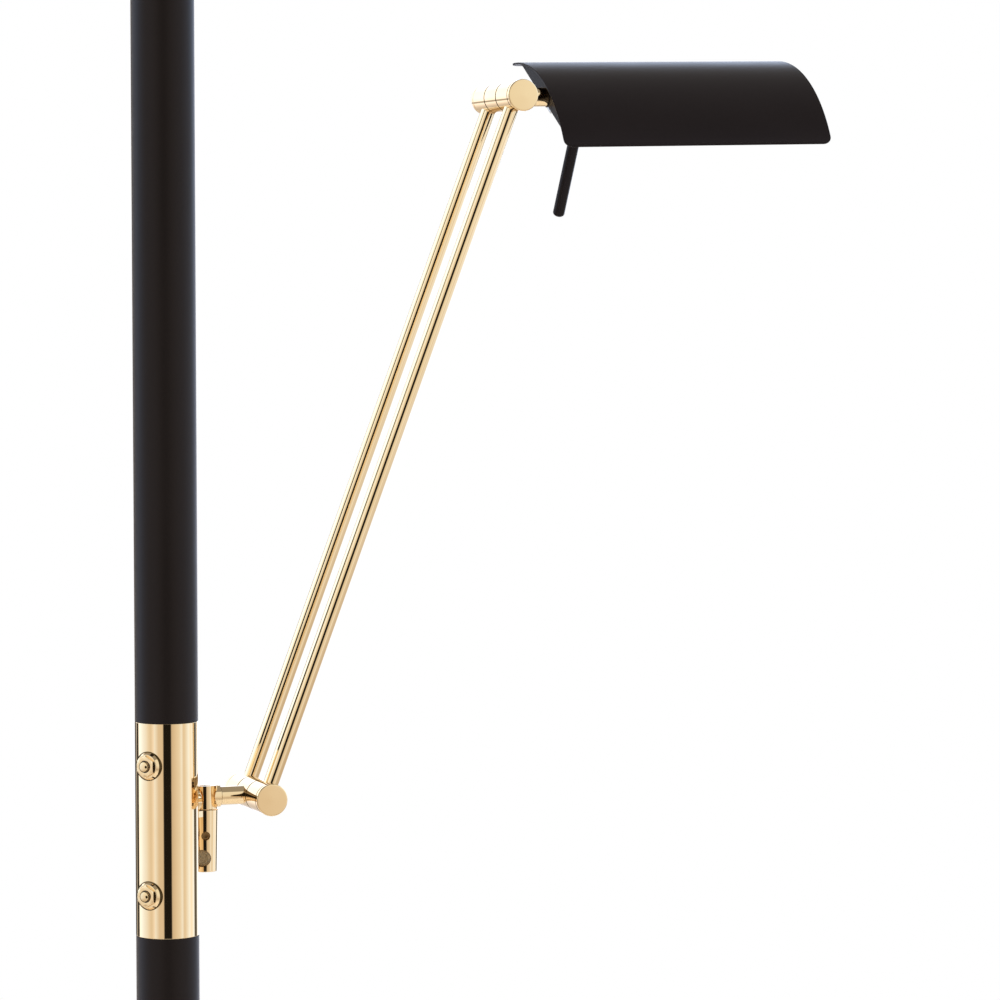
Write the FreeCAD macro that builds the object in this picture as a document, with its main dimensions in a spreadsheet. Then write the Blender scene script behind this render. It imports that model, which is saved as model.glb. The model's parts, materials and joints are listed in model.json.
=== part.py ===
import FreeCAD, Part
import math
import os
import re
import Sketcher
from FreeCAD import Vector

# Uplight floor lamp with a twin-tube reading arm.
# Origin: centre of the floor pad's underside. +Z up. The reading arm swings in
# a plane parallel to XZ and reaches towards +X, as it stands at rest.
# Lengths in millimetres, angles in degrees.

sizes = {
    # clearances
    "pressGap": 0.05,
    "runGap": 0.06,
    "bearingGap": 0.3,
    # base
    "padThickness": 2.5,
    "padInset": 4,
    "baseRadius": 150,
    "baseSkirt": 15,
    "baseRise": 19,
    "coverWall": 1.5,
    "coverTopRadius": 34,
    "coverEdgeRadius": 6,
    "weightAir": 1.5,
    "baseBoreRadius": 6.6,
    "nutWellRadius": 19,
    "nutWellDepth": 10,
    "channelWidth": 8,
    "channelDepth": 7,
    "studRadius": 6.4,
    "studBore": 4,
    "studReach": 24,
    "baseNutFlats": 20,
    "baseNutHeight": 6,
    "washerRadius": 16,
    "washerThickness": 2,
    "grommetHole": 3.6,
    "grommetBore": 2.3,
    "grommetLip": 1.2,
    "grommetSlack": 0.1,
    # pole
    "poleRadius": 20,
    "poleWall": 1.5,
    "lowerPoleLength": 983.5,
    "upperPoleLength": 560,
    "footHeight": 34,
    "couplerInPole": 32,
    "couplerInSleeve": 12,
    "couplerBore": 6,
    "headHeight": 26,
    # brass sleeve and its two dimmers
    "sleeveLength": 136.2,
    "dimmerAngle": -52,
    "upperDimmerDrop": 26.8,
    "lowerDimmerDrop": 109,
    "dimmerWidth": 22,
    "dimmerHeight": 19,
    "dimmerBack": 4,
    "dimmerFront": 12,
    "bushingRadius": 3.9,
    "bushingStickOut": 3.6,
    "ringRadius": 9.3,
    "ringThickness": 1.2,
    "ringSaddle": 3,
    "ringBevel": 1.1,
    "dimmerNutFlats": 12.6,
    "dimmerNutHeight": 2.6,
    "spindleRadius": 2.5,
    "spindleDepth": 14,
    "knobRadius": 3.5,
    "knobHeight": 1.1,
    "knobDome": 0.3,
    "dimpleRadius": 0.7,
    "dimpleDepth": 0.5,
    "dimpleOffset": 1.9,
    # arm bracket on the sleeve
    "bracketAngle": 117,
    "armDrop": 51.1,
    "pivotReach": 32.9,
    "flangeRadius": 8.8,
    "flangeThickness": 3,
    "flangeDrop": 1.2,
    "bracketStudRadius": 4,
    "bracketStudLength": 9,
    "bracketNutFlats": 13,
    "bracketNutHeight": 4.5,
    "lugWidth": 11,
    "lugHeight": 4.4,
    "postRadius": 8.8,
    "postTaper": 0.8,
    "postLength": 39.8,
    "setHoleAngle": -12,
    "setHoleRadius": 2.8,
    "setHoleDrop": 16.5,
    "setScrewLength": 3.2,
    "plugHoleAngle": -30,
    "plugHoleRadius": 5.5,
    "plugHoleDrop": 30.9,
    "plugHoleDepth": 5.6,
    "plugThickness": 2.4,
    "pivotRadius": 3.5,
    "pivotDepth": 22,
    "pivotHeadRadius": 4.6,
    "pivotHeadHeight": 1.4,
    # swivel knuckle and stub
    "knuckleRadius": 8.5,
    "knuckleHeight": 15.2,
    "collarRadius": 7.5,
    "collarReach": 12,
    "collarSink": 4.8,
    "stubRadius": 5.9,
    "stubReach": 34.5,
    "stubTongueRadius": 3,
    # arm axles, hubs and tubes
    "armLength": 480.5,
    "armLean": 20.94,
    "hubRadius": 10.3,
    "hubWidth": 20.5,
    "hubEdge": 0.35,
    "hubFloor": 6.8,
    "axleRadius": 4,
    "spacerThickness": 0.5,
    "spacerInset": 0.6,
    "capThickness": 3.5,
    "capEdge": 0.5,
    "capThread": 2.2,
    "tubeRadius": 4.85,
    "tubeWall": 1,
    # reading head
    "headLiftAngle": 1.2,
    "shadeRollAngle": 32.7,
    "shadeStart": 25.2,
    "shadeLength": 190,
    "shadeRadius": 92.8,
    "shadeArc": 71.4,
    "shadeWall": 1.4,
    "shadeCorner": 6,
    "stemDepth": 11.7,
    "stemRadius": 6,
    "stemPinRadius": 4,
    "stemPinLength": 22,
    "grooveDepth": 0.9,
    "grooveWidth": 3.6,
    "grooveInset": 5,
    "plateInset": 3,
    "plateThickness": 1.5,
    "plateLift": 3,
    "plateLugRadius": 9,
    "blockLength": 36,
    "blockWidth": 17,
    "blockDrop": 8,
    "stemScrewRadius": 1.5,
    "handleSpot": 30.4,
    "handleRadius": 3.9,
    "handleLength": 83.3,
    "handleTip": 2,
    "handleThreadRadius": 2,
    "handleThreadLength": 5,
    "socketRadius": 7.5,
    "socketLength": 14,
    "bulbRadius": 5.5,
    "bulbLength": 38,
    "bulbSeat": 4,
    "reflectorGap": 0.3,
    "reflectorWall": 0.7,
    "reflectorArc": 62,
    "reflectorInset": 1,
    # uplight bowl
    "bowlCurve": 172,
    "bowlFloorRadius": 32,
    "bowlHeight": 86,
    "bowlWall": 1.2,
    "bowlHem": 2.4,
    "bowlHemHeight": 3,
    "wireHoleRadius": 6,
    "strapWidth": 18,
    "strapWall": 1.6,
    "strapFlat": 24,
    "strapRise": 18,
    "strapEar": 22,
    "bowlScrewCircle": 12,
    "bowlScrewRadius": 2,
    "bowlScrewHead": 3.6,
    "bowlScrewHeadHeight": 2.2,
    "bowlScrewLength": 12,
    "bowlScrewCount": 2,
    "tubeLampLength": 118,
    "tubeLampRadius": 5.5,
    "tubeLampEnd": 3.6,
    "tubeLampEndLength": 13,
    "socketBlockWidth": 14,
    "socketBlockHeight": 22,
    "socketBlockDepth": 11,
    "socketCupDepth": 4,
    "socketCupGap": 0.3,
    "glassHeight": 46,
    "glassThickness": 4,
}

doc = FreeCAD.newDocument("UplightFloorLamp")
sheet = doc.addObject("Spreadsheet::Sheet", "Sizes")
for row, (name, number) in enumerate(sizes.items(), start=1):
    sheet.set("A%d" % row, name)
    sheet.set("B%d" % row, str(number))
    sheet.setAlias("B%d" % row, name)
doc.recompute()

pieces = []


def bound(text):
    # every size named in the text becomes a reference to its cell
    def cell(match):
        word = match.group()
        return "Sizes." + word if word in sizes else word
    return re.sub(r"[A-Za-z_]\w*", cell, text)


def amount(text):
    return float(sheet.evalExpression(bound(text)))


def setSize(item, prop, text):
    item.setExpression(prop, bound(text))


def frame(x="0", y="0", z="0", turn="rotationz(0)"):
    return "placement(vector(%s; %s; %s); %s)" % (x, y, z, turn)


def place(item, *frames):
    # a chain of frames, the outermost first
    item.setExpression("Placement", bound(" * ".join(frames)))


def piece(item, label, *frames):
    item.Label = label
    if frames:
        place(item, *frames)
    pieces.append(item)
    return item


def newBody(label):
    return doc.addObject("PartDesign::Body", label.title().replace("_", ""))


def originPlane(body, role):
    for feature in body.Origin.OriginFeatures:
        if feature.Role == role:
            return feature
    raise ValueError(role)


def outlineSketch(body, role, corners, name="Outline"):
    # Closed outline through corners, each (x, y) or (x, y, radius, side): the radius
    # makes the edge that follows an arc, centred left (+1) or right (-1) of it.
    sketch = body.newObject("Sketcher::SketchObject", name)
    sketch.AttachmentSupport = (originPlane(body, role), [""])
    sketch.MapMode = "FlatFace"
    points = [Vector(amount(c[0]), amount(c[1]), 0) for c in corners]
    starts = []
    ends = []
    for i, corner in enumerate(corners):
        here = points[i]
        there = points[(i + 1) % len(points)]
        if len(corner) == 2:
            sketch.addGeometry(Part.LineSegment(here, there), False)
            starts.append(1)
            ends.append(2)
            continue
        radius = amount(corner[2])
        side = corner[3]
        chord = there - here
        half = chord.Length / 2
        left = Vector(-chord.y, chord.x, 0).normalize()
        centre = (here + there) * 0.5 + left * (side * math.sqrt(radius ** 2 - half ** 2))
        first, last = (here, there) if side > 0 else (there, here)
        a = math.atan2(first.y - centre.y, first.x - centre.x)
        b = math.atan2(last.y - centre.y, last.x - centre.x)
        if b < a:
            b += 2 * math.pi
        circle = Part.Circle(centre, Vector(0, 0, 1), radius)
        sketch.addGeometry(Part.ArcOfCircle(circle, a, b), False)
        starts.append(1 if side > 0 else 2)
        ends.append(2 if side > 0 else 1)
        n = sketch.addConstraint(Sketcher.Constraint("Radius", i, radius))
        sketch.setExpression("Constraints[%d]" % n, bound(corner[2]))
    count = len(corners)
    for i in range(count):
        j = (i + 1) % count
        sketch.addConstraint(Sketcher.Constraint("Coincident", i, ends[i], j, starts[j]))
    for i, corner in enumerate(corners):
        for kind, axis, text, now in (("DistanceX", -2, corner[0], points[i].x),
                                      ("DistanceY", -1, corner[1], points[i].y)):
            if text == "0":
                sketch.addConstraint(Sketcher.Constraint("PointOnObject", i, starts[i], axis))
                continue
            n = sketch.addConstraint(Sketcher.Constraint(kind, -1, 1, i, starts[i], now))
            sketch.setExpression("Constraints[%d]" % n, bound(text))
    return sketch


def turned(label, corners, *frames):
    # lathe piece: outline in (radius, height), turned about its own Z
    body = newBody(label)
    sketch = outlineSketch(body, "XZ_Plane", corners)
    turn = body.newObject("PartDesign::Revolution", "Turn")
    turn.Profile = sketch
    turn.ReferenceAxis = (sketch, ["V_Axis"])
    turn.Angle = 360
    sketch.Visibility = False
    return piece(body, label, *frames)


def bore(body, radius, height, *frames):
    # round hole along the local Z of its frame
    cut = body.newObject("PartDesign::SubtractiveCylinder", "Bore")
    setSize(cut, "Radius", radius)
    setSize(cut, "Height", height)
    place(cut, *frames)
    return cut


def ringOutline(inner, outer, bottom, top):
    return [(inner, bottom), (outer, bottom), (outer, top), (inner, top)]


def rodOutline(radius, bottom, top):
    return [("0", bottom), (radius, bottom), (radius, top), ("0", top)]


def solid(kind, name, settings, *frames):
    item = doc.addObject(kind, name)
    for prop, text in settings.items():
        setSize(item, prop, text)
    if frames:
        place(item, *frames)
    return item


def cylinder(name, radius, height, *frames):
    return solid("Part::Cylinder", name, {"Radius": radius, "Height": height}, *frames)


def box(name, length, width, height, *frames):
    return solid("Part::Box", name, {"Length": length, "Width": width, "Height": height}, *frames)


def fused(name, *items):
    joined = doc.addObject("Part::MultiFuse", name)
    joined.Shapes = list(items)
    return joined


def shared(name, *items):
    common = doc.addObject("Part::MultiCommon", name)
    common.Shapes = list(items)
    return common


def cutAway(name, base, tool):
    left = doc.addObject("Part::Cut", name)
    left.Base = base
    left.Tool = tool
    return left


def hexNut(name, flats, height, hole, *frames):
    # hexagon nut on Z with rounded corners and a through hole
    blank = doc.addObject("Part::Prism", name + "Blank")
    blank.Polygon = 6
    setSize(blank, "Circumradius", "(%s) / sqrt(3)" % flats)
    setSize(blank, "Height", height)
    limit = cylinder(name + "Limit", "(%s) / sqrt(3) - (%s) * 0.02" % (flats, flats), height)
    hexagon = shared(name + "Hexagon", blank, limit)
    drill = cylinder(name + "Drill", hole, height)
    nut = cutAway(name, hexagon, drill)
    if frames:
        place(nut, *frames)
    return nut


# Heights up the pole.
baseTop = "padThickness + baseRise"
sleeveBottom = baseTop + " + lowerPoleLength"
sleeveTop = sleeveBottom + " + sleeveLength"
poleTop = sleeveTop + " + upperPoleLength"
armHeight = sleeveTop + " - armDrop"
poleBore = "poleRadius - poleWall"

# Base: a felt disc, a cast-iron disc and a spun cover over it.

turned("floor_pad", rodOutline("baseRadius - padInset", "0", "padThickness"))

weightRadius = "baseRadius - coverWall - weightAir"
weightEdge = "padThickness + baseSkirt - coverWall - weightAir"
weightTop = baseTop + " - coverWall"
wellTop = "padThickness + nutWellDepth"
weight = turned("base_weight", [
    ("baseBoreRadius", wellTop),
    ("nutWellRadius", wellTop),
    ("nutWellRadius", "padThickness"),
    (weightRadius, "padThickness"),
    (weightRadius, weightEdge + " - coverEdgeRadius"),
    (weightRadius + " - coverEdgeRadius", weightEdge),
    ("coverTopRadius", weightTop),
    ("baseBoreRadius", weightTop),
])
channel = weight.newObject("PartDesign::SubtractiveBox", "CordChannel")
setSize(channel, "Length", "channelWidth")
setSize(channel, "Width", "baseRadius")
setSize(channel, "Height", "channelDepth")
place(channel, frame("-channelWidth / 2", "0", "padThickness"))

skirtTop = "padThickness + baseSkirt"
cover = turned("base_cover", [
    ("baseBoreRadius", weightTop),
    ("coverTopRadius", weightTop),
    ("baseRadius - coverEdgeRadius", skirtTop + " - coverWall",
     "coverEdgeRadius - coverWall", -1),
    ("baseRadius - coverWall", skirtTop + " - coverEdgeRadius"),
    ("baseRadius - coverWall", "padThickness"),
    ("baseRadius", "padThickness"),
    ("baseRadius", skirtTop + " - coverEdgeRadius", "coverEdgeRadius", 1),
    ("baseRadius - coverEdgeRadius", skirtTop),
    ("coverTopRadius", baseTop),
    ("baseBoreRadius", baseTop),
])
grommetHeight = "padThickness + grommetHole + grommetLip * 0.5"
bore(cover, "grommetHole", "coverWall * 4",
     frame("0", "baseRadius - coverWall * 2", grommetHeight, "rotationx(-90)"))
turned("cord_grommet", [
    ("grommetBore", "-grommetSlack - grommetLip"),
    ("grommetHole + grommetLip * 0.5", "-grommetSlack - grommetLip"),
    ("grommetHole + grommetLip * 0.5", "-grommetSlack"),
    ("grommetHole - pressGap", "-grommetSlack"),
    ("grommetHole - pressGap", "coverWall"),
    ("grommetHole + grommetLip * 0.5", "coverWall"),
    ("grommetHole + grommetLip * 0.5", "coverWall + grommetLip"),
    ("grommetBore", "coverWall + grommetLip"),
], frame("0", "baseRadius - coverWall", grommetHeight, "rotationx(-90)"))

turned("pole_foot", [
    ("studRadius + pressGap", baseTop),
    (poleBore + " - pressGap", baseTop),
    (poleBore + " - pressGap", baseTop + " + footHeight"),
    ("studBore", baseTop + " + footHeight"),
    ("studBore", baseTop + " + studReach"),
    ("studRadius + pressGap", baseTop + " + studReach"),
])
studBottom = wellTop + " - washerThickness - baseNutHeight - 0.5"
turned("base_stud", ringOutline("studBore", "studRadius", studBottom, baseTop + " + studReach"))
turned("base_washer", ringOutline("studRadius + pressGap", "washerRadius",
                                  wellTop + " - washerThickness", wellTop))
piece(hexNut("BaseNut", "baseNutFlats", "baseNutHeight", "studRadius + pressGap",
             frame(z=wellTop + " - washerThickness - baseNutHeight")), "base_nut")

# Pole: two steel tubes with a brass sleeve of the same diameter between them.

turned("lower_pole", ringOutline(poleBore, "poleRadius", baseTop, sleeveBottom))
turned("upper_pole", ringOutline(poleBore, "poleRadius", sleeveTop, poleTop))
turned("lower_coupler", ringOutline("couplerBore", poleBore + " - pressGap",
                                    sleeveBottom + " - couplerInPole",
                                    sleeveBottom + " + couplerInSleeve"))
turned("upper_coupler", ringOutline("couplerBore", poleBore + " - pressGap",
                                    sleeveTop + " - couplerInSleeve",
                                    sleeveTop + " + couplerInPole"))
poleHead = turned("pole_head", ringOutline("couplerBore", poleBore + " - pressGap",
                                           poleTop + " - headHeight", poleTop))

# Radial frames on the sleeve: local Z points outward.
outward = "rotationz(%s) * rotationx(90)"
upperDimmer = frame(z=sleeveTop + " - upperDimmerDrop", turn=outward % "dimmerAngle")
lowerDimmer = frame(z=sleeveTop + " - lowerDimmerDrop", turn=outward % "dimmerAngle")
bracketOut = frame(z=armHeight, turn=outward % "bracketAngle")

sleeve = turned("dimmer_sleeve", ringOutline(poleBore, "poleRadius", sleeveBottom, sleeveTop))
for spot in (upperDimmer, lowerDimmer):
    bore(sleeve, "bushingRadius + pressGap", "poleRadius", spot, frame(z="poleRadius / 2"))
bore(sleeve, "bracketStudRadius + pressGap", "poleRadius",
     bracketOut, frame(y="-flangeDrop", z="poleRadius / 2"))

# Dimmers: module inside the sleeve, saddle ring, thin nut and spindle knob outside.
bushingEnd = "poleRadius + bushingStickOut"
rings = []
nuts = []
for side, spot in (("upper", upperDimmer), ("lower", lowerDimmer)):
    cap = side.title()
    case = box(cap + "Case", "dimmerWidth", "dimmerHeight", "dimmerFront + dimmerBack",
               frame("-dimmerWidth / 2", "-dimmerHeight / 2", "-dimmerBack"))
    bushing = cylinder(cap + "Bushing", "bushingRadius", bushingEnd)
    well = cylinder(cap + "Well", "spindleRadius + runGap", bushingEnd,
                    frame(z=bushingEnd + " - spindleDepth"))
    module = cutAway(cap + "Module", fused(cap + "ModuleBlank", case, bushing), well)
    piece(module, side + "_dimmer", spot)

    skirt = cylinder(cap + "RingSkirt", "ringRadius", "ringSaddle", frame(z="poleRadius - ringSaddle"))
    crown = solid("Part::Cone", cap + "RingCrown",
                  {"Radius1": "ringRadius", "Radius2": "ringRadius - ringBevel", "Height": "ringThickness"},
                  frame(z="poleRadius"))
    plate = fused(cap + "RingBlank", skirt, crown)
    pole = cylinder(cap + "RingSeat", "poleRadius", "ringRadius * 4",
                    frame(y="-ringRadius * 2", turn="rotationx(-90)"))
    hole = cylinder(cap + "RingHole", "bushingRadius + pressGap", bushingEnd)
    ring = cutAway(cap + "Ring", plate, fused(cap + "RingTool", pole, hole))
    place(ring, spot)
    rings.append(ring)
    nuts.append(hexNut(cap + "Nut", "dimmerNutFlats", "dimmerNutHeight",
                       "bushingRadius + pressGap",
                       spot, frame(z="poleRadius + ringThickness")))

    knobBase = bushingEnd + " + bearingGap"
    knob = turned(side + "_dimmer_knob", [
        ("0", bushingEnd + " - spindleDepth + bearingGap"),
        ("spindleRadius", bushingEnd + " - spindleDepth + bearingGap"),
        ("spindleRadius", knobBase),
        ("knobRadius", knobBase),
        ("knobRadius", knobBase + " + knobHeight - knobDome"),
        ("knobRadius - knobDome", knobBase + " + knobHeight"),
        ("0", knobBase + " + knobHeight"),
    ], spot)
    bore(knob, "dimpleRadius", "knobHeight",
         frame("dimpleOffset", "0", knobBase + " + knobHeight - dimpleDepth"))

piece(fused("DimmerRings", *rings), "dimmer_rings")
piece(fused("DimmerNuts", *nuts), "dimmer_nuts")

# Arm bracket: flange on the sleeve, lug and tapered post below the knuckle.
# Its own frame has the post's axis on Z and the pole towards +Y.
kneeX = "pivotReach * sin(bracketAngle)"
kneeY = "-pivotReach * cos(bracketAngle)"
bracketFrame = frame(kneeX, kneeY, armHeight, "rotationz(bracketAngle)")
postTop = "-(knuckleHeight / 2 + bearingGap)"

flange = cylinder("Flange", "flangeRadius", "poleRadius + flangeThickness",
                  frame(y="pivotReach", z="-flangeDrop", turn="rotationx(90)"))
sleeveRoom = cylinder("SleeveRoom", "poleRadius", "flangeRadius * 4",
                      frame(y="pivotReach", z="-flangeRadius * 2"))
flangePlate = cutAway("FlangePlate", flange, sleeveRoom)
bracketStud = cylinder("BracketStud", "bracketStudRadius", "bracketStudLength",
                       frame(y="pivotReach - poleRadius + bracketStudLength - 1", z="-flangeDrop",
                             turn="rotationx(90)"))
lug = box("Lug", "lugWidth", "pivotReach - poleRadius - flangeThickness / 2", "lugHeight",
          frame("-lugWidth / 2", "0", postTop + " - lugHeight"))
post = solid("Part::Cone", "Post", {"Radius1": "postRadius - postTaper", "Radius2": "postRadius",
                                    "Height": "postLength"}, frame(z=postTop + " - postLength"))
setOut = frame(turn="rotationz(setHoleAngle - bracketAngle) * rotationx(90)")
plugOut = frame(turn="rotationz(plugHoleAngle - bracketAngle) * rotationx(90)")
pinHole = cylinder("PinHole", "pivotRadius + pressGap", "pivotDepth + 1",
                   frame(z=postTop + " - pivotDepth"))
setHole = cylinder("SetHole", "setHoleRadius + pressGap", "postRadius * 2",
                   frame(z=postTop + " - setHoleDrop"), setOut)
plugHole = cylinder("PlugHole", "plugHoleRadius + pressGap", "postRadius * 2",
                    frame(z=postTop + " - plugHoleDrop"), plugOut,
                    frame(z="postRadius - plugHoleDepth"))
bracket = cutAway("ArmBracket", fused("BracketBlank", flangePlate, bracketStud, lug, post),
                  fused("BracketHoles", pinHole, setHole, plugHole))
piece(bracket, "arm_bracket", bracketFrame)

nutFace = "sqrt((%s) ^ 2 - bracketNutFlats ^ 2 / 3)" % poleBore
piece(hexNut("BracketNut", "bracketNutFlats", "bracketNutHeight", "bracketStudRadius + pressGap",
             bracketOut, frame(y="-flangeDrop", z=nutFace + " - bracketNutHeight")), "bracket_nut")

turned("pivot_pin", [
    ("0", "-pivotDepth"),
    ("pivotRadius", "-pivotDepth"),
    ("pivotRadius", "knuckleHeight - pivotHeadHeight + 2 * bearingGap"),
    ("pivotHeadRadius", "knuckleHeight - pivotHeadHeight + 2 * bearingGap"),
    ("pivotHeadRadius", "knuckleHeight + bearingGap"),
    ("0", "knuckleHeight + bearingGap"),
], bracketFrame, frame(z=postTop))

turned("pin_set_screw", rodOutline("setHoleRadius", "pivotRadius + pressGap",
                                   "pivotRadius + pressGap + setScrewLength"),
       bracketFrame, frame(z=postTop + " - setHoleDrop"), setOut)
turned("bracket_plug", rodOutline("plugHoleRadius", "postRadius - plugHoleDepth",
                                  "postRadius - plugHoleDepth + plugThickness"),
       bracketFrame, frame(z=postTop + " - plugHoleDrop"), plugOut)

# Swivel: knuckle on the pivot pin, collared stub and the lower middle hub.
armX = kneeX + " + stubReach"
armFrame = frame(armX, kneeY, armHeight)
headRoom = "knuckleHeight / 2 - pivotHeadHeight"
knuckle = turned("swivel_knuckle", [
    ("pivotRadius + runGap", "-knuckleHeight / 2"),
    ("knuckleRadius", "-knuckleHeight / 2"),
    ("knuckleRadius", "knuckleHeight / 2"),
    ("pivotHeadRadius + runGap", "knuckleHeight / 2"),
    ("pivotHeadRadius + runGap", headRoom),
    ("pivotRadius + runGap", headRoom),
], frame(kneeX, kneeY, armHeight))
bore(knuckle, "stubTongueRadius + pressGap", "knuckleRadius * 2", frame(turn="rotationy(90)"))

collar = cylinder("Collar", "collarRadius", "collarReach - knuckleRadius + collarSink",
                  frame("knuckleRadius - collarSink", turn="rotationy(90)"))
stubRod = cylinder("StubRod", "stubRadius", "stubReach - hubFloor - collarReach",
                   frame("collarReach", turn="rotationy(90)"))
tongue = cylinder("StubTongue", "stubTongueRadius", "collarReach - pivotRadius - 2 * runGap",
                  frame("pivotRadius + 2 * runGap", turn="rotationy(90)"))
knuckleRoom = cylinder("KnuckleRoom", "knuckleRadius", "collarRadius * 4",
                       frame(z="-collarRadius * 2"))
stub = fused("ArmStub", cutAway("SaddleCollar", collar, knuckleRoom), stubRod, tongue)
piece(stub, "arm_stub", frame(kneeX, kneeY, armHeight))


def hub(label, seatRadius, seatTurn, *frames):
    # local Z along the axle; one flat-bottomed seat for a tube or a stem
    body = turned(label, [
        ("axleRadius + runGap", "-hubWidth / 2"),
        ("hubRadius - hubEdge", "-hubWidth / 2"),
        ("hubRadius", "-hubWidth / 2 + hubEdge"),
        ("hubRadius", "hubWidth / 2 - hubEdge"),
        ("hubRadius - hubEdge", "hubWidth / 2"),
        ("axleRadius + runGap", "hubWidth / 2"),
    ], *frames)
    bore(body, seatRadius + " + pressGap", "hubRadius", frame(turn=seatTurn), frame(z="hubFloor"))
    return body


alongAxle = "rotationx(90)"
outerShift = "hubWidth + spacerThickness"
towardTube = "rotationz(-armLean) * rotationx(-90)"
awayFromTube = "rotationz(-armLean) * rotationx(90)"
capSpot = "hubWidth * 1.5 + spacerThickness"
topX = armX + " + armLength * sin(armLean)"
topZ = armHeight + " + armLength * cos(armLean)"
topFrame = frame(topX, kneeY, topZ)

hub("lower_middle_hub", "stubRadius", "rotationy(-90)", armFrame, frame(turn=alongAxle))
hub("lower_front_hub", "tubeRadius", towardTube, armFrame, frame(y="-(%s)" % outerShift,
                                                                turn=alongAxle))
hub("lower_back_hub", "tubeRadius", towardTube, armFrame, frame(y=outerShift, turn=alongAxle))
hub("upper_front_hub", "tubeRadius", awayFromTube, topFrame, frame(y="-(%s)" % outerShift,
                                                                  turn=alongAxle))
hub("upper_back_hub", "tubeRadius", awayFromTube, topFrame, frame(y=outerShift, turn=alongAxle))

for name, shift in (("front_arm_tube", "-(%s)" % outerShift), ("back_arm_tube", outerShift)):
    turned(name, ringOutline("tubeRadius - tubeWall", "tubeRadius",
                             "hubFloor", "armLength - hubFloor"),
           armFrame, frame(y=shift, turn="rotationy(armLean)"))

spacers = []
for level, spot in (("lower", armFrame), ("upper", topFrame)):
    turned(level + "_axle", rodOutline("axleRadius", "-(%s) - capThread" % capSpot,
                                       capSpot + " + capThread"),
           spot, frame(turn=alongAxle))
    caps = []
    for end, turn in (("Front", "rotationx(90)"), ("Back", "rotationx(-90)")):
        name = level.title() + end
        disc = cylinder(name + "Disc", "hubRadius", "capThickness")
        edge = doc.addObject("Part::Chamfer", name + "Edge")
        edge.Base = disc
        doc.recompute()
        rims = [i for i, e in enumerate(disc.Shape.Edges, start=1)
                if e.Closed and e.BoundBox.ZMin > 0.5 * amount("capThickness")]
        edge.Edges = [(i, amount("capEdge"), amount("capEdge")) for i in rims]
        thread = cylinder(name + "Thread", "axleRadius + pressGap", "capThread")
        capItem = cutAway(name + "Cap", edge, thread)
        place(capItem, spot, frame(turn=turn), frame(z=capSpot))
        caps.append(capItem)
        washer = cutAway(name + "Spacer",
                         cylinder(name + "SpacerDisc", "hubRadius - spacerInset",
                                  "spacerThickness"),
                         cylinder(name + "SpacerHole", "axleRadius + runGap", "spacerThickness"))
        place(washer, spot, frame(turn=turn), frame(z="hubWidth / 2"))
        spacers.append(washer)
    piece(fused(level.title() + "Caps", *caps), level + "_axle_caps")
piece(fused("AxleSpacers", *spacers), "axle_spacers")

# Reading head. In the head's frame X runs out along the stem from the upper axle;
# in the shade's frame Z points from the stem to the crown of the shade.
headFrame = topFrame + " * " + frame(turn="rotationy(-headLiftAngle)")
shadeFrame = headFrame + " * " + frame(turn="rotationx(shadeRollAngle)")
plateSpot = "shadeStart + plateInset"
blockStart = plateSpot + " + plateThickness"
blockEnd = blockStart + " + blockLength"
pinEnd = blockStart + " + stemPinLength"
grooveEnd = pinEnd + " - grooveInset"
grooveStart = grooveEnd + " - grooveWidth"

hub("upper_middle_hub", "stemRadius", "rotationy(90)", headFrame, frame(turn=alongAxle))
turned("shade_stem", [
    ("0", "hubFloor"),
    ("stemRadius", "hubFloor"),
    ("stemRadius", plateSpot + " - bearingGap"),
    ("stemPinRadius", plateSpot + " - bearingGap"),
    ("stemPinRadius", grooveStart),
    ("stemPinRadius - grooveDepth", grooveStart),
    ("stemPinRadius - grooveDepth", grooveEnd),
    ("stemPinRadius", grooveEnd),
    ("stemPinRadius", pinEnd),
    ("0", pinEnd),
], headFrame, frame(turn="rotationy(90)"))

curveDrop = "-(shadeRadius - stemDepth)"
innerCurve = "shadeRadius - shadeWall"


def curvedSheet(label, start, length, radius, wall, arc, corner=None):
    # sheet bent round an axis parallel to X, centred on its own Z
    body = newBody(label)
    sketch = outlineSketch(body, "XZ_Plane", [
        (start, "(%s) - (%s)" % (radius, wall)),
        ("(%s) + (%s)" % (start, length), "(%s) - (%s)" % (radius, wall)),
        ("(%s) + (%s)" % (start, length), radius),
        (start, radius),
    ])
    bend = body.newObject("PartDesign::Revolution", "Bend")
    bend.Profile = sketch
    bend.ReferenceAxis = (sketch, ["H_Axis"])
    bend.Midplane = True
    setSize(bend, "Angle", arc)
    sketch.Visibility = False
    if corner:
        doc.recompute()
        short = [i for i, e in enumerate(bend.Shape.Edges, start=1)
                 if abs(e.Length - amount(wall)) < amount(wall) / 100]
        rounded = body.newObject("PartDesign::Fillet", "Corners")
        rounded.Base = (bend, ["Edge%d" % i for i in short])
        setSize(rounded, "Radius", corner)
    return piece(body, label, shadeFrame, frame(z=curveDrop))


curvedSheet("reading_shade", "shadeStart", "shadeLength", "shadeRadius", "shadeWall",
            "shadeArc", "shadeCorner")
curvedSheet("shade_reflector", blockEnd + " + reflectorInset",
            "shadeLength - 2 * plateInset - 2 * plateThickness - blockLength - 2 * reflectorInset",
            innerCurve + " - reflectorGap", "reflectorWall", "reflectorArc")

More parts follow.
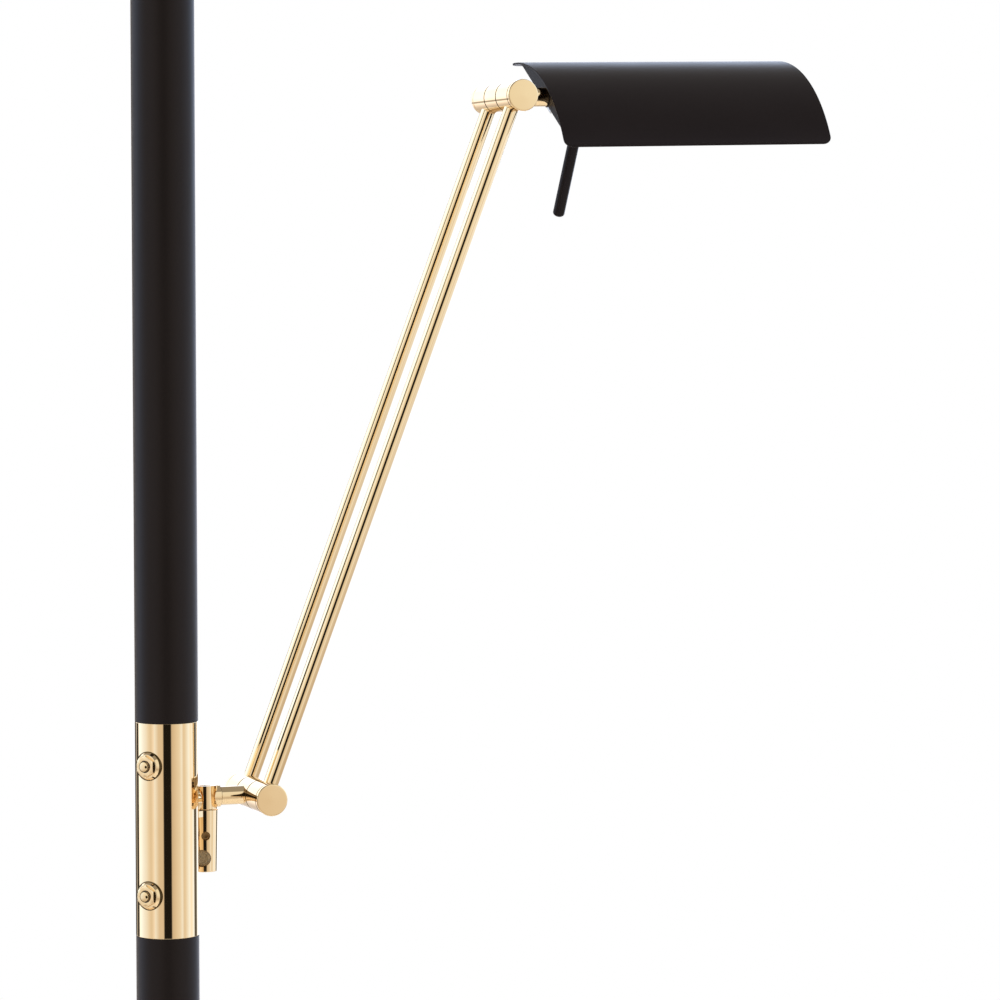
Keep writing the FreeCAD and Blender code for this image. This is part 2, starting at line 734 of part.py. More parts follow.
plateFloor = "(%s) * cos(shadeArc / 2) + plateLift" % innerCurve
farSpot = "shadeStart + shadeLength - plateInset - plateThickness"
for side, spot in (("near", plateSpot), ("far", farSpot)):
    cap = side.title()
    disc = cylinder(cap + "PlateDisc", innerCurve, "plateThickness",
                    frame(spot, turn="rotationy(90)"))
    keep = box(cap + "PlateKeep", "plateThickness", "shadeRadius * 2",
               "shadeRadius - (%s)" % plateFloor, frame(spot, "-shadeRadius", plateFloor))
    segment = shared(cap + "PlateSegment", disc, keep)
    if side == "near":
        lugDisc = cylinder("PlateLug", "plateLugRadius", "plateThickness",
                           frame(spot, z="shadeRadius - stemDepth", turn="rotationy(90)"))
        lugHole = cylinder("PlateHole", "stemPinRadius + runGap", "plateThickness * 3",
                           frame("(%s) - plateThickness" % spot, z="shadeRadius - stemDepth",
                                 turn="rotationy(90)"))
        segment = cutAway("NearPlate", fused("NearPlateBlank", segment, lugDisc), lugHole)
    piece(segment, "shade_%s_plate" % side, shadeFrame, frame(z=curveDrop))

handleX = "shadeStart + handleSpot"
blockBlank = box("BlockBlank", "blockLength", "blockWidth", "blockDrop + stemDepth",
                 frame(blockStart, "-blockWidth / 2", "-blockDrop"))
blockLimit = cylinder("BlockLimit", innerCurve, "blockLength",
                      frame(blockStart, z=curveDrop, turn="rotationy(90)"))
pinBore = cylinder("StemBore", "stemPinRadius + runGap", "stemPinLength + bearingGap",
                   frame(blockStart, turn="rotationy(90)"))
handleBore = cylinder("HandleBore", "handleThreadRadius + pressGap",
                      "handleThreadLength + pressGap",
                      frame(handleX, z="-blockDrop"))
screwTip = "stemPinRadius - grooveDepth + bearingGap"
screwX = grooveStart + " + grooveWidth / 2"
sideOut = frame(screwX, turn="rotationx(90)")
screwBore = cylinder("ScrewBore", "stemScrewRadius + pressGap", "blockWidth", sideOut)
block = cutAway("ShadeBlock", shared("BlockShape", blockBlank, blockLimit),
                fused("BlockHoles", pinBore, handleBore, screwBore))
piece(block, "shade_block", shadeFrame)
turned("stem_screw", rodOutline("stemScrewRadius", screwTip, "blockWidth / 2"),
       shadeFrame, sideOut)

turned("shade_handle", [
    ("0", "-handleThreadLength"),
    ("handleThreadRadius", "-handleThreadLength"),
    ("handleThreadRadius", "0"),
    ("handleRadius", "0"),
    ("handleRadius", "handleLength - handleTip", "handleTip", 1),
    ("handleRadius - handleTip", "handleLength"),
    ("0", "handleLength"),
], shadeFrame, frame(handleX, z="-blockDrop", turn="rotationx(180)"))

socketEnd = blockEnd + " + socketLength"
turned("reading_socket", [
    ("0", blockEnd),
    ("socketRadius", blockEnd),
    ("socketRadius", socketEnd),
    ("bulbRadius * 0.8 + pressGap", socketEnd),
    ("bulbRadius * 0.8 + pressGap", socketEnd + " - bulbSeat"),
    ("0", socketEnd + " - bulbSeat"),
], shadeFrame, frame(turn="rotationy(90)"))
bulbEnd = socketEnd + " - bulbSeat + bulbLength"
turned("reading_bulb", [
    ("0", socketEnd + " - bulbSeat"),
    ("bulbRadius * 0.8", socketEnd + " - bulbSeat"),
    ("bulbRadius * 0.8", socketEnd),
    ("bulbRadius", socketEnd + " + bulbRadius * 0.2"),
    ("bulbRadius", bulbEnd + " - bulbRadius", "bulbRadius", 1),
    ("0", bulbEnd),
], shadeFrame, frame(turn="rotationy(90)"))

# Uplight: spun bowl on the pole's head, strap with two lamp sockets, tube lamp
# and a cover glass that lies in the bowl.
bowlFrame = frame(z=poleTop)
bowlCentre = "sqrt(bowlCurve ^ 2 - bowlFloorRadius ^ 2)"
innerBowl = "bowlCurve - bowlWall"


def bowlRadiusAt(height, radius):
    return "sqrt((%s) ^ 2 - (%s - (%s)) ^ 2)" % (radius, bowlCentre, height)


hemBottom = "bowlHeight - bowlHemHeight"
bowl = turned("uplight_bowl", [
    ("wireHoleRadius", "0"),
    ("bowlFloorRadius", "0", "bowlCurve", 1),
    (bowlRadiusAt(hemBottom, "bowlCurve"), hemBottom),
    (bowlRadiusAt(hemBottom, "bowlCurve") + " + bowlHem", hemBottom),
    (bowlRadiusAt(hemBottom, "bowlCurve") + " + bowlHem", "bowlHeight"),
    (bowlRadiusAt("bowlHeight", innerBowl), "bowlHeight", innerBowl, -1),
    (bowlRadiusAt("bowlWall", innerBowl), "bowlWall"),
    ("wireHoleRadius", "bowlWall"),
], bowlFrame)

strapBody = newBody("lamp_bracket")
halfLamp = "tubeLampLength / 2"
cupFace = halfLamp + " - socketCupDepth"
strapInside = cupFace + " + socketBlockDepth"
strapEnd = strapInside + " + strapWall"
earTop = "bowlWall + strapRise + strapEar"
strapHalf = [
    ("strapFlat", "bowlWall"),
    (strapEnd, "bowlWall + strapRise"),
    (strapEnd, earTop),
    (strapInside, earTop),
    (strapInside, "bowlWall + strapRise + strapWall"),
    ("strapFlat", "bowlWall + strapWall"),
]
strapSketch = outlineSketch(strapBody, "XZ_Plane",
                            strapHalf + [("-(%s)" % x, z) for x, z in reversed(strapHalf)])
strapPad = strapBody.newObject("PartDesign::Pad", "Strip")
strapPad.Profile = strapSketch
strapPad.Midplane = True
setSize(strapPad, "Length", "strapWidth")
strapSketch.Visibility = False
bore(strapBody, "wireHoleRadius", "strapWall * 4", frame(z="bowlWall - strapWall"))
piece(strapBody, "lamp_bracket", bowlFrame)

screwTop = "bowlWall + strapWall"
screws = []
for turn in range(int(amount("bowlScrewCount"))):
    spin = frame(turn="rotationz(%d * 360 / bowlScrewCount)" % turn)
    spot = frame("bowlScrewCircle")
    down = frame("bowlScrewCircle", z="-bowlScrewLength")
    for body in (poleHead, bowl, strapBody):
        base = frame(z=poleTop) if body is poleHead else frame()
        bore(body, "bowlScrewRadius + pressGap", "bowlScrewLength * 2", base, spin, down)
    shank = cylinder("Shank%d" % turn, "bowlScrewRadius", "bowlScrewLength + %s" % screwTop)
    head = cylinder("ScrewHead%d" % turn, "bowlScrewHead", "bowlScrewHeadHeight",
                    frame(z="bowlScrewLength + %s" % screwTop))
    screw = fused("BowlScrew%d" % turn, shank, head)
    place(screw, bowlFrame, spin, down)
    screws.append(screw)
piece(fused("BowlScrews", *screws), "bowl_screws")

lampLevel = "bowlWall + strapRise + strapWall + socketBlockHeight / 2"
for name, turn in (("left_lamp_socket", "rotationz(180)"), ("right_lamp_socket", "rotationz(0)")):
    blank = box(name + "Blank", "socketBlockDepth", "socketBlockWidth", "socketBlockHeight",
                frame(cupFace, "-socketBlockWidth / 2",
                      lampLevel + " - socketBlockHeight / 2"))
    cup = cylinder(name + "Cup", "tubeLampEnd + socketCupGap", "socketCupDepth",
                   frame(cupFace, z=lampLevel, turn="rotationy(90)"))
    piece(cutAway(name + "Shape", blank, cup), name, bowlFrame, frame(turn=turn))

neck = halfLamp + " - tubeLampEndLength"
turned("halogen_tube", [
    ("0", "-(%s)" % halfLamp),
    ("tubeLampEnd", "-(%s)" % halfLamp),
    ("tubeLampEnd", "-(%s)" % neck),
    ("tubeLampRadius", "-(%s) + tubeLampRadius" % neck),
    ("tubeLampRadius", neck + " - tubeLampRadius"),
    ("tubeLampEnd", neck),
    ("tubeLampEnd", halfLamp),
    ("0", halfLamp),
], bowlFrame, frame(z=lampLevel, turn="rotationy(90)"))

glassRadius = bowlRadiusAt("glassHeight", innerBowl) + " - pressGap"
turned("cover_glass", rodOutline(glassRadius, "glassHeight", "glassHeight + glassThickness"),
       bowlFrame)

doc.recompute()

for item in doc.Objects:
    if "Invalid" in item.State or "Error" in item.State:
        raise RuntimeError("%s failed: %s" % (item.Name, item.State))

os.makedirs("parts", exist_ok=True)
triangles = 0
for item in pieces:
    shape = item.Shape
    if shape.isNull() or not shape.isValid() or not shape.Solids:
        raise RuntimeError("%s has no valid solid" % item.Label)
    shape.exportStep("parts/%s.step" % item.Label)
    facets = len(shape.tessellate(0.1)[1])
    triangles += facets
    print("%-20s solids %d  volume %9.1f  triangles %d"
          % (item.Label, len(shape.Solids), shape.Volume, facets))
print("pieces", len(pieces), "triangles", triangles)
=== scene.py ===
import json
import math
import bmesh
import bpy
from mathutils import Matrix, Vector


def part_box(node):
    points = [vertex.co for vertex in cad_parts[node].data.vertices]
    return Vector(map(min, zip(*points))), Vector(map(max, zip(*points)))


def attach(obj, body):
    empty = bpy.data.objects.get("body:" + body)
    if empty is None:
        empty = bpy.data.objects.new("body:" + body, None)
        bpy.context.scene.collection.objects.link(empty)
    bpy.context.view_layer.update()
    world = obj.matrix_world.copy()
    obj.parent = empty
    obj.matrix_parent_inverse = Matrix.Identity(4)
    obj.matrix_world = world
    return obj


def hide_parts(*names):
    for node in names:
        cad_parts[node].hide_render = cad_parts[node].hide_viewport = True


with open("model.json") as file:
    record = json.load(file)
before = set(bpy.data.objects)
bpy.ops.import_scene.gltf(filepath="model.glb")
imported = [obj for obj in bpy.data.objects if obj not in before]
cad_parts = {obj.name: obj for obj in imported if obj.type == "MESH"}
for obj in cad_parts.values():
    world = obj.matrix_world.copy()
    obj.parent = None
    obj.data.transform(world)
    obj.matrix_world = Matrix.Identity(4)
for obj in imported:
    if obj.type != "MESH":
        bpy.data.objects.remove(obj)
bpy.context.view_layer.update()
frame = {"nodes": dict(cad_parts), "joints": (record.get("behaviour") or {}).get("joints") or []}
scene = bpy.context.scene
joints = {joint["name"]: joint for joint in frame["joints"]}
mm = 0.001
print("frame loaded:", len(frame["nodes"]), "nodes")


# camera, as the photograph was taken

cameraLook = {
    "place": (-0.7427, -2.553, 1.4197), "heading": -20.79, "dip": 2.994, "lean": 0.102,
    "lens": 151.2, "sensor": 36, "farthest": 50,
}

cameraData = bpy.data.cameras.new("photoCamera")
cameraData.lens = cameraLook["lens"]
cameraData.sensor_width = cameraLook["sensor"]
cameraData.clip_end = cameraLook["farthest"]
photoCamera = bpy.data.objects.new("photoCamera", cameraData)
scene.collection.objects.link(photoCamera)
photoCamera.location = cameraLook["place"]
photoCamera.rotation_euler = [math.radians(angle) for angle in (
    90 - cameraLook["dip"], cameraLook["lean"], cameraLook["heading"])]
scene.camera = photoCamera
scene.view_settings.view_transform = "Standard"


# shader helpers

def feed(tree, node, values):
    # a value that is a socket is linked, any other is set
    for key, value in values.items():
        if isinstance(value, bpy.types.NodeSocket):
            tree.links.new(value, node.inputs[key])
        else:
            node.inputs[key].default_value = value


def addNode(tree, kind, values=None, **settings):
    node = tree.nodes.new("ShaderNode" + kind)
    for key, value in settings.items():
        setattr(node, key, value)
    feed(tree, node, values or {})
    return node


def maths(tree, how, first, second=0.5):
    return addNode(tree, "Math", {0: first, 1: second}, operation=how).outputs["Value"]


def ranged(tree, value, low, high, newLow=0.0, newHigh=1.0, **settings):
    return addNode(tree, "MapRange", {"Value": value, "From Min": low, "From Max": high, "To Min": newLow,
                                      "To Max": newHigh}, **settings).outputs["Result"]


def noise(tree, spot, scale, detail, roughness=0.5):
    return addNode(tree, "TexNoise", {"Vector": spot, "Scale": scale, "Detail": detail,
                                      "Roughness": roughness}).outputs["Fac"]


def blended(tree, share, first, second):
    return addNode(tree, "Mix", {0: share, 6: first, 7: second}, data_type="RGBA").outputs[2]


def mixedShaders(tree, share, first, second):
    return addNode(tree, "MixShader", {0: share, 1: first, 2: second}).outputs[0]


def newGroup(name, inputs, outputs):
    # inputs: name -> (socket kind, default), outputs: name -> socket kind
    group = bpy.data.node_groups.new(name, "ShaderNodeTree")
    for label, (kind, default) in inputs.items():
        socket = group.interface.new_socket(label, in_out="INPUT", socket_type="NodeSocket" + kind)
        if default is not None:
            socket.default_value = default
    for label, kind in outputs.items():
        group.interface.new_socket(label, in_out="OUTPUT", socket_type="NodeSocket" + kind)
    return group, group.nodes.new("NodeGroupInput").outputs, group.nodes.new("NodeGroupOutput")


def polishMarksGroup():
    # smudges and hairlines that a polished surface keeps: a roughness value and a height
    group, given, made = newGroup("polishMarks", {
        "Vector": ("Vector", None), "Gloss": ("Float", 0.06), "Smudge": ("Float", 0.05),
        "Hairline": ("Float", 0.4),
    }, {"Roughness": "Float", "Height": "Float"})
    patches = ranged(group, noise(group, given["Vector"], 42.0, 4.0, 0.6), 0.45, 0.75)
    smudge = maths(group, "MULTIPLY", patches, given["Smudge"])
    stretched = addNode(group, "Mapping", {"Vector": given["Vector"], "Rotation": (0.3, 0.9, 0.4),
                                           "Scale": (1.0, 1.0, 0.04)})
    hairs = ranged(group, noise(group, stretched.outputs["Vector"], 2600.0, 2.0), 0.62, 0.8)
    height = maths(group, "MULTIPLY", hairs, given["Hairline"])
    smudged = maths(group, "ADD", given["Gloss"], smudge)
    feed(group, made, {"Height": height,
                       "Roughness": maths(group, "ADD", smudged, maths(group, "MULTIPLY", height, 0.05))})
    return group


def fineGrainGroup():
    # small even grain of a coat, casting or moulding, with slow drifts of tone
    group, given, made = newGroup("fineGrain", {
        "Vector": ("Vector", None), "Grain Scale": ("Float", 2500.0), "Drift Scale": ("Float", 14.0),
        "Drift": ("Float", 0.3), "Dark": ("Color", (0.01, 0.01, 0.01, 1)),
        "Light": ("Color", (0.03, 0.03, 0.03, 1)), "Roughness": ("Float", 0.45), "Spread": ("Float", 0.1),
    }, {"Color": "Color", "Roughness": "Float", "Height": "Float"})
    grain = noise(group, given["Vector"], given["Grain Scale"], 3.0)
    drift = noise(group, given["Vector"], given["Drift Scale"], 5.0)
    centred = maths(group, "SUBTRACT", drift, 0.5)
    speck = maths(group, "ADD", grain, maths(group, "MULTIPLY", centred, given["Drift"]))
    rough = maths(group, "MULTIPLY", centred, given["Spread"])
    feed(group, made, {
        "Color": blended(group, ranged(group, speck, 0.3, 0.7), given["Dark"], given["Light"]),
        "Roughness": maths(group, "ADD", rough, given["Roughness"]), "Height": grain,
    })
    return group


polishMarks = polishMarksGroup()
fineGrain = fineGrainGroup()
finishes = {}


def newMaterial(name, slot, plain):
    # plain: values set on the shader's own sockets
    material = bpy.data.materials.new(name)
    material.use_nodes = True
    tree = material.node_tree
    shader = tree.nodes["Principled BSDF"]
    feed(tree, shader, plain)
    finishes[name] = (material, slot)
    return tree, shader, addNode(tree, "TexCoord").outputs["Object"]


def bumped(tree, height, distance):
    bump = addNode(tree, "Bump", {"Height": height, "Distance": distance, "Strength": 1.0})
    return bump.outputs["Normal"]


def polishedMetal(name, slot, colour, tarnish, gloss, smudge, hairline, depth):
    tree, shader, spot = newMaterial(name, slot, {"Metallic": 1.0})
    marks = addNode(tree, "Group", {"Vector": spot, "Gloss": gloss, "Smudge": smudge, "Hairline": hairline},
                    node_tree=polishMarks)
    ramp = addNode(tree, "ValToRGB", {"Fac": noise(tree, spot, 24.0, 3.0)})
    for stop, position, tone in zip(ramp.color_ramp.elements, (0.3, 0.7), (tarnish, colour)):
        stop.position = position
        stop.color = (*tone, 1)
    feed(tree, shader, {"Base Color": ramp.outputs["Color"], "Roughness": marks.outputs["Roughness"],
                        "Normal": bumped(tree, marks.outputs["Height"], depth)})


def grainedFinish(name, slot, dark, light, roughness, spread, grain, depth, plain=None):
    tree, shader, spot = newMaterial(name, slot, plain or {})
    grains = addNode(tree, "Group", {"Vector": spot, "Grain Scale": grain, "Dark": (*dark, 1),
                                     "Light": (*light, 1), "Roughness": roughness, "Spread": spread},
                     node_tree=fineGrain)
    feed(tree, shader, {"Base Color": grains.outputs["Color"], "Roughness": grains.outputs["Roughness"],
                        "Normal": bumped(tree, grains.outputs["Height"], depth)})


def glassFinish(name, slot, tint, roughness, frost, grain):
    tree, shader, spot = newMaterial(name, slot, {"Transmission Weight": 1.0, "IOR": 1.46,
                                                  "Base Color": (*tint, 1)})
    cloud = noise(tree, spot, grain, 4.0)
    feed(tree, shader, {"Roughness": ranged(tree, cloud, 0.3, 0.7, roughness, roughness + frost),
                        "Normal": bumped(tree, cloud, 0.00002)})


# metals: bright and tarnished colour, gloss, smudges, hairlines, their depth
polishedMetal("brass", "polished_brass", (0.9, 0.665, 0.385), (0.87, 0.63, 0.345), 0.025, 0.02, 0.35, 3e-6)
# painted shade: a near-black brass laid on rims, seams, the knob's dimple and the nut's shaded side
polishedMetal("paintedShadeBrass", "polished_brass", (0.08, 0.05, 0.015), (0.05, 0.03, 0.008), 0.3, 0.1, 0.35, 4e-6)
# the screw's brown is partly its own colour and partly painted shade of its recess in the post
polishedMetal("shadedScrewBrown", "zinc_steel", (0.4, 0.24, 0.1), (0.3, 0.18, 0.07), 0.45, 0.1, 0.35, 4e-6)
polishedMetal("steel", "zinc_steel", (0.62, 0.61, 0.58), (0.5, 0.49, 0.47), 0.22, 0.15, 0.6, 1e-5)
polishedMetal("aluminium", "turned_aluminium", (0.85, 0.85, 0.85), (0.76, 0.76, 0.77), 0.18, 0.1, 0.6, 1e-5)
polishedMetal("tungsten", "lamp_glass", (0.35, 0.34, 0.33), (0.25, 0.24, 0.23), 0.35, 0.1, 0.5, 1e-5)
# coats and mouldings: dark and light tone, roughness and its spread, grain scale and depth
grainedFinish("blackCoat", "black_lacquer", (0.006, 0.0045, 0.0045), (0.0098, 0.0074, 0.0074), 0.33, 0.1,
              2600.0, 1e-5, {
                  "Specular IOR Level": 0.12, "Specular Tint": (1.0, 0.82, 0.82, 1),
                  "Sheen Weight": 0.11, "Sheen Roughness": 0.3, "Sheen Tint": (1.0, 0.82, 0.68, 1)})
grainedFinish("tubeCoat", "black_lacquer", (0.0065, 0.0048, 0.0044), (0.01, 0.0074, 0.0066), 0.42, 0.1,
              2600.0, 1e-5, {
                  "Specular IOR Level": 0.17, "Specular Tint": (1.0, 0.82, 0.76, 1),
                  "Sheen Weight": 0.25, "Sheen Roughness": 0.3, "Sheen Tint": (1.0, 0.78, 0.58, 1)})
grainedFinish("iron", "grey_iron", (0.05, 0.05, 0.052), (0.12, 0.12, 0.12), 0.6, 0.2, 900.0, 0.00012)
grainedFinish("felt", "pad_felt", (0.012, 0.012, 0.013), (0.05, 0.05, 0.055), 0.95, 0.05, 1400.0, 0.0003,
              {"Sheen Weight": 0.3})
grainedFinish("nylon", "black_plastic", (0.012, 0.012, 0.012), (0.02, 0.02, 0.02), 0.5, 0.15, 1800.0, 2e-5)
grainedFinish("greyPlug", "black_plastic", (0.34, 0.26, 0.15), (0.44, 0.335, 0.195), 0.5, 0.2, 900.0, 2e-5)
grainedFinish("dimmerCase", "dimmer_plastic", (0.02, 0.02, 0.024), (0.035, 0.035, 0.04), 0.35, 0.1,
              1500.0, 2e-5)
grainedFinish("steatite", "steatite", (0.72, 0.7, 0.64), (0.82, 0.8, 0.75), 0.4, 0.15, 1100.0, 4e-5,
              {"Subsurface Weight": 0.05})
grainedFinish("whiteEnamel", "black_lacquer", (0.78, 0.78, 0.76), (0.84, 0.84, 0.82), 0.3, 0.1, 900.0, 3e-5)
glassFinish("quartz", "lamp_glass", (0.98, 0.98, 0.99), 0.01, 0.03, 60.0)
glassFinish("frostedGlass", "frosted_glass", (0.95, 0.97, 0.97), 0.3, 0.15, 700.0)
print("materials ready:", len(finishes))


# shape helpers: every shape is made in millimetres, with local Z along its own axis

def axisFrame(origin, along, up=(0, 0, 1)):
    # local Z along the axis, local Y as near to up as it can be
    z = Vector(along).normalized()
    y = Vector(up) - z * z.dot(Vector(up))
    y.normalize()
    x = y.cross(z)
    place = Matrix((x, y, z)).transposed().to_4x4()
    place.translation = Vector(origin)
    return place


def turnedShape(outline, steps=128):
    # lathe work: outline corners (radius, height) or (radius, height, rounding); an outline that
    # starts on the axis stays open there, any other is closed
    shape = bmesh.new()
    points = [shape.verts.new((corner[0], 0, corner[1])) for corner in outline]
    for a, b in zip(points, points[1:]):
        shape.edges.new((a, b))
    if outline[0][0] > 0:
        shape.edges.new((points[-1], points[0]))
    for point, corner in zip(points, outline):
        if len(corner) > 2:
            bmesh.ops.bevel(shape, geom=[point], offset=corner[2], segments=4 if corner[2] < 1 else 8,
                            profile=0.5, affect="VERTICES", material=-1)
    bmesh.ops.spin(shape, geom=shape.verts[:] + shape.edges[:], cent=(0, 0, 0), axis=(0, 0, 1),
                   angle=math.tau, steps=steps, use_merge=True, use_duplicate=False)
    bmesh.ops.remove_doubles(shape, verts=shape.verts, dist=0.0005)
    bmesh.ops.recalc_face_normals(shape, faces=shape.faces)
    return shape


def rodShape(radius, bottom, top, rounding=0, steps=96):
    extra = (rounding,) if rounding else ()
    return turnedShape([(0, bottom), (radius, bottom, *extra), (radius, top, *extra), (0, top)], steps)


def hexPrism(radius, bottom, height):
    prism = bmesh.new()
    bmesh.ops.create_cone(prism, cap_ends=True, segments=6, radius1=radius, radius2=radius, depth=height)
    return moved(prism, Matrix.Translation((0, 0, bottom + height / 2)))


def sharpEdges(shape, least):
    return [edge for edge in shape.edges if len(edge.link_faces) == 2
            and edge.calc_face_angle(0) > math.radians(least)]


def rounded(shape, edges, offset, segments):
    bmesh.ops.bevel(shape, geom=edges, offset=offset, segments=segments, profile=0.5, affect="EDGES",
                    material=-1)
    return shape


def blockShape(low, high, rounding=0):
    shape = bmesh.new()
    bmesh.ops.create_cube(shape, size=1)
    low, high = Vector(low), Vector(high)
    bmesh.ops.scale(shape, vec=high - low, verts=shape.verts)
    bmesh.ops.translate(shape, vec=(low + high) / 2, verts=shape.verts)
    return rounded(shape, shape.edges[:], rounding, 3) if rounding else shape


def moved(shape, place):
    bmesh.ops.transform(shape, matrix=place, verts=shape.verts)
    return shape


def turnBy(angle, axis, offset=(0, 0, 0)):
    return Matrix.Translation(offset) @ Matrix.Rotation(math.radians(angle), 4, axis)


def meshOf(name, shape):
    mesh = bpy.data.meshes.new(name)
    shape.to_mesh(mesh)
    shape.free()
    return mesh


def linked(name, data):
    item = bpy.data.objects.new(name, data)
    scene.collection.objects.link(item)
    return item


def combined(shape, *tools, how="DIFFERENCE"):
    # cut, join or keep the common part of solid shapes
    base, *others = [linked("loose", meshOf("loose", part)) for part in (shape, *tools)]
    for other in others:
        cut = base.modifiers.new("Cut", "BOOLEAN")
        cut.operation = how
        cut.object = other
        cut.solver = "EXACT"
    bpy.context.view_layer.update()
    result = bmesh.new()
    result.from_object(base, bpy.context.evaluated_depsgraph_get())
    for item in [base] + others:
        bpy.data.objects.remove(item)
    return result


def together(*shapes):
    # several shapes as one mesh, side by side
    joined = shapes[0]
    for shape in shapes[1:]:
        joined.from_mesh(meshOf("loose", shape))
    return joined


def paintedShadeFaces(shape, chosen):
    # faces that take a piece's second finish, the painted shade
    for face in shape.faces:
        if chosen(face.calc_center_median(), face.normal):
            face.material_index = 1


def fromAxis(spot):
    return math.hypot(spot.x, spot.y)


def addPiece(name, shape, place, finish, body, stands=(), second=None):
    # shape in millimetres becomes a piece of the lamp in metres that rides on its body
    moved(shape, place @ Matrix.Scale(mm, 4) if place else Matrix.Scale(mm, 4))
    for face in shape.faces:
        face.smooth = True
    for edge in sharpEdges(shape, 32):
        edge.smooth = False
    mesh = meshOf(name, shape)
    mesh.materials.append(finishes[finish][0])
    if second:
        mesh.materials.append(finishes[second][0])
    item = linked(name, mesh)
    # large faces keep their own normal, small roundings bend to them
    normals = item.modifiers.new("Normals", "WEIGHTED_NORMAL")
    normals.keep_sharp = True
    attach(item, body)
    if stands:
        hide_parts(*stands)
    return item


def sizeOf(node):
    low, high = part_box(node)
    return (high - low) / mm


def levels(node):
    # lowest and highest point of a node in millimetres
    low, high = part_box(node)
    return low.z / mm, high.z / mm


# base

baseLook = {"edge": 6, "hem": 0.4, "wall": 1.5, "poleSeat": 34, "fillet": 6, "slope": 4, "bore": 6.6}


def makeBase():
    low, high = levels("base_cover")
    look = baseLook
    radius = sizeOf("base_cover").x / 2
    wall, edge, shoulder = look["wall"], look["edge"], high - look["slope"]
    cover = turnedShape([
        (look["bore"], high - wall), (look["poleSeat"], high - wall, look["fillet"]),
        (radius - wall, shoulder - wall, edge - wall), (radius - wall, low),
        (radius, low, look["hem"]), (radius, shoulder, edge),
        (look["poleSeat"], high, look["fillet"]), (look["bore"], high),
    ], steps=192)
    addPiece("baseCover", cover, None, "tubeCoat", "stand", ["base_cover"])
    print("base made")


makeBase()


# pole and sleeve

poleLook = {"wall": 1.5, "edge": 0.35, "sleeveEdge": 0.3, "steps": 192}
poleRadius = sizeOf("lower_pole").x / 2


def makePole():
    inner = poleRadius - poleLook["wall"]
    for name, node, finish, edge in (("lowerPole", "lower_pole", "tubeCoat", poleLook["edge"]),
                                     ("upperPole", "upper_pole", "tubeCoat", poleLook["edge"]),
                                     ("brassSleeve", "dimmer_sleeve", "brass", poleLook["sleeveEdge"])):
        low, high = levels(node)
        tube = turnedShape([(inner, low), (poleRadius, low, edge), (poleRadius, high, edge), (inner, high)],
                           steps=poleLook["steps"])
        addPiece(name, tube, None, finish, "stand", [node])
    print("pole made")


makePole()


# dimmers: plate, nut and knob on each spindle

dimmerLook = {
    "plate": 9.3, "plateSide": 20.1, "plateLine": 0.55, "plateTop": 22.1, "plateCrown": 7.5,
    "plateRound": 0.3, "bushing": 3.9, "nutFlats": 12.3, "nutHeight": 1.65,
    "bushingEnd": 23.6, "knob": 3.5, "knobHeight": 1.1, "spindle": 2.5, "spindleLength": 14,
    "gap": 0.3, "knobLine": 0.5, "dimple": 1.0, "dimpleSpot": 1.8, "dimpleDepth": 0.65,
}


def seatOnPole(shape, top):
    # the underside of a round plate follows the pole
    for vert in shape.verts:
        if vert.co.z < top:
            vert.co.z = min(math.sqrt(poleRadius ** 2 - min(abs(vert.co.x), poleRadius) ** 2) + 0.02, top)


def nutShape(flats, height, bore):
    # the limit's cone cuts the six top corners
    limit = turnedShape([(0, -4), (flats, -4), (flats, height - 3), (flats * 0.485, height), (0, height)],
                        steps=96)
    nut = combined(hexPrism(flats / math.sqrt(3), 0, height), limit, how="INTERSECT")
    nut = combined(nut, rodShape(bore, -1, height + 1, steps=64))
    return rounded(nut, sharpEdges(nut, 50), 0.12, 2)


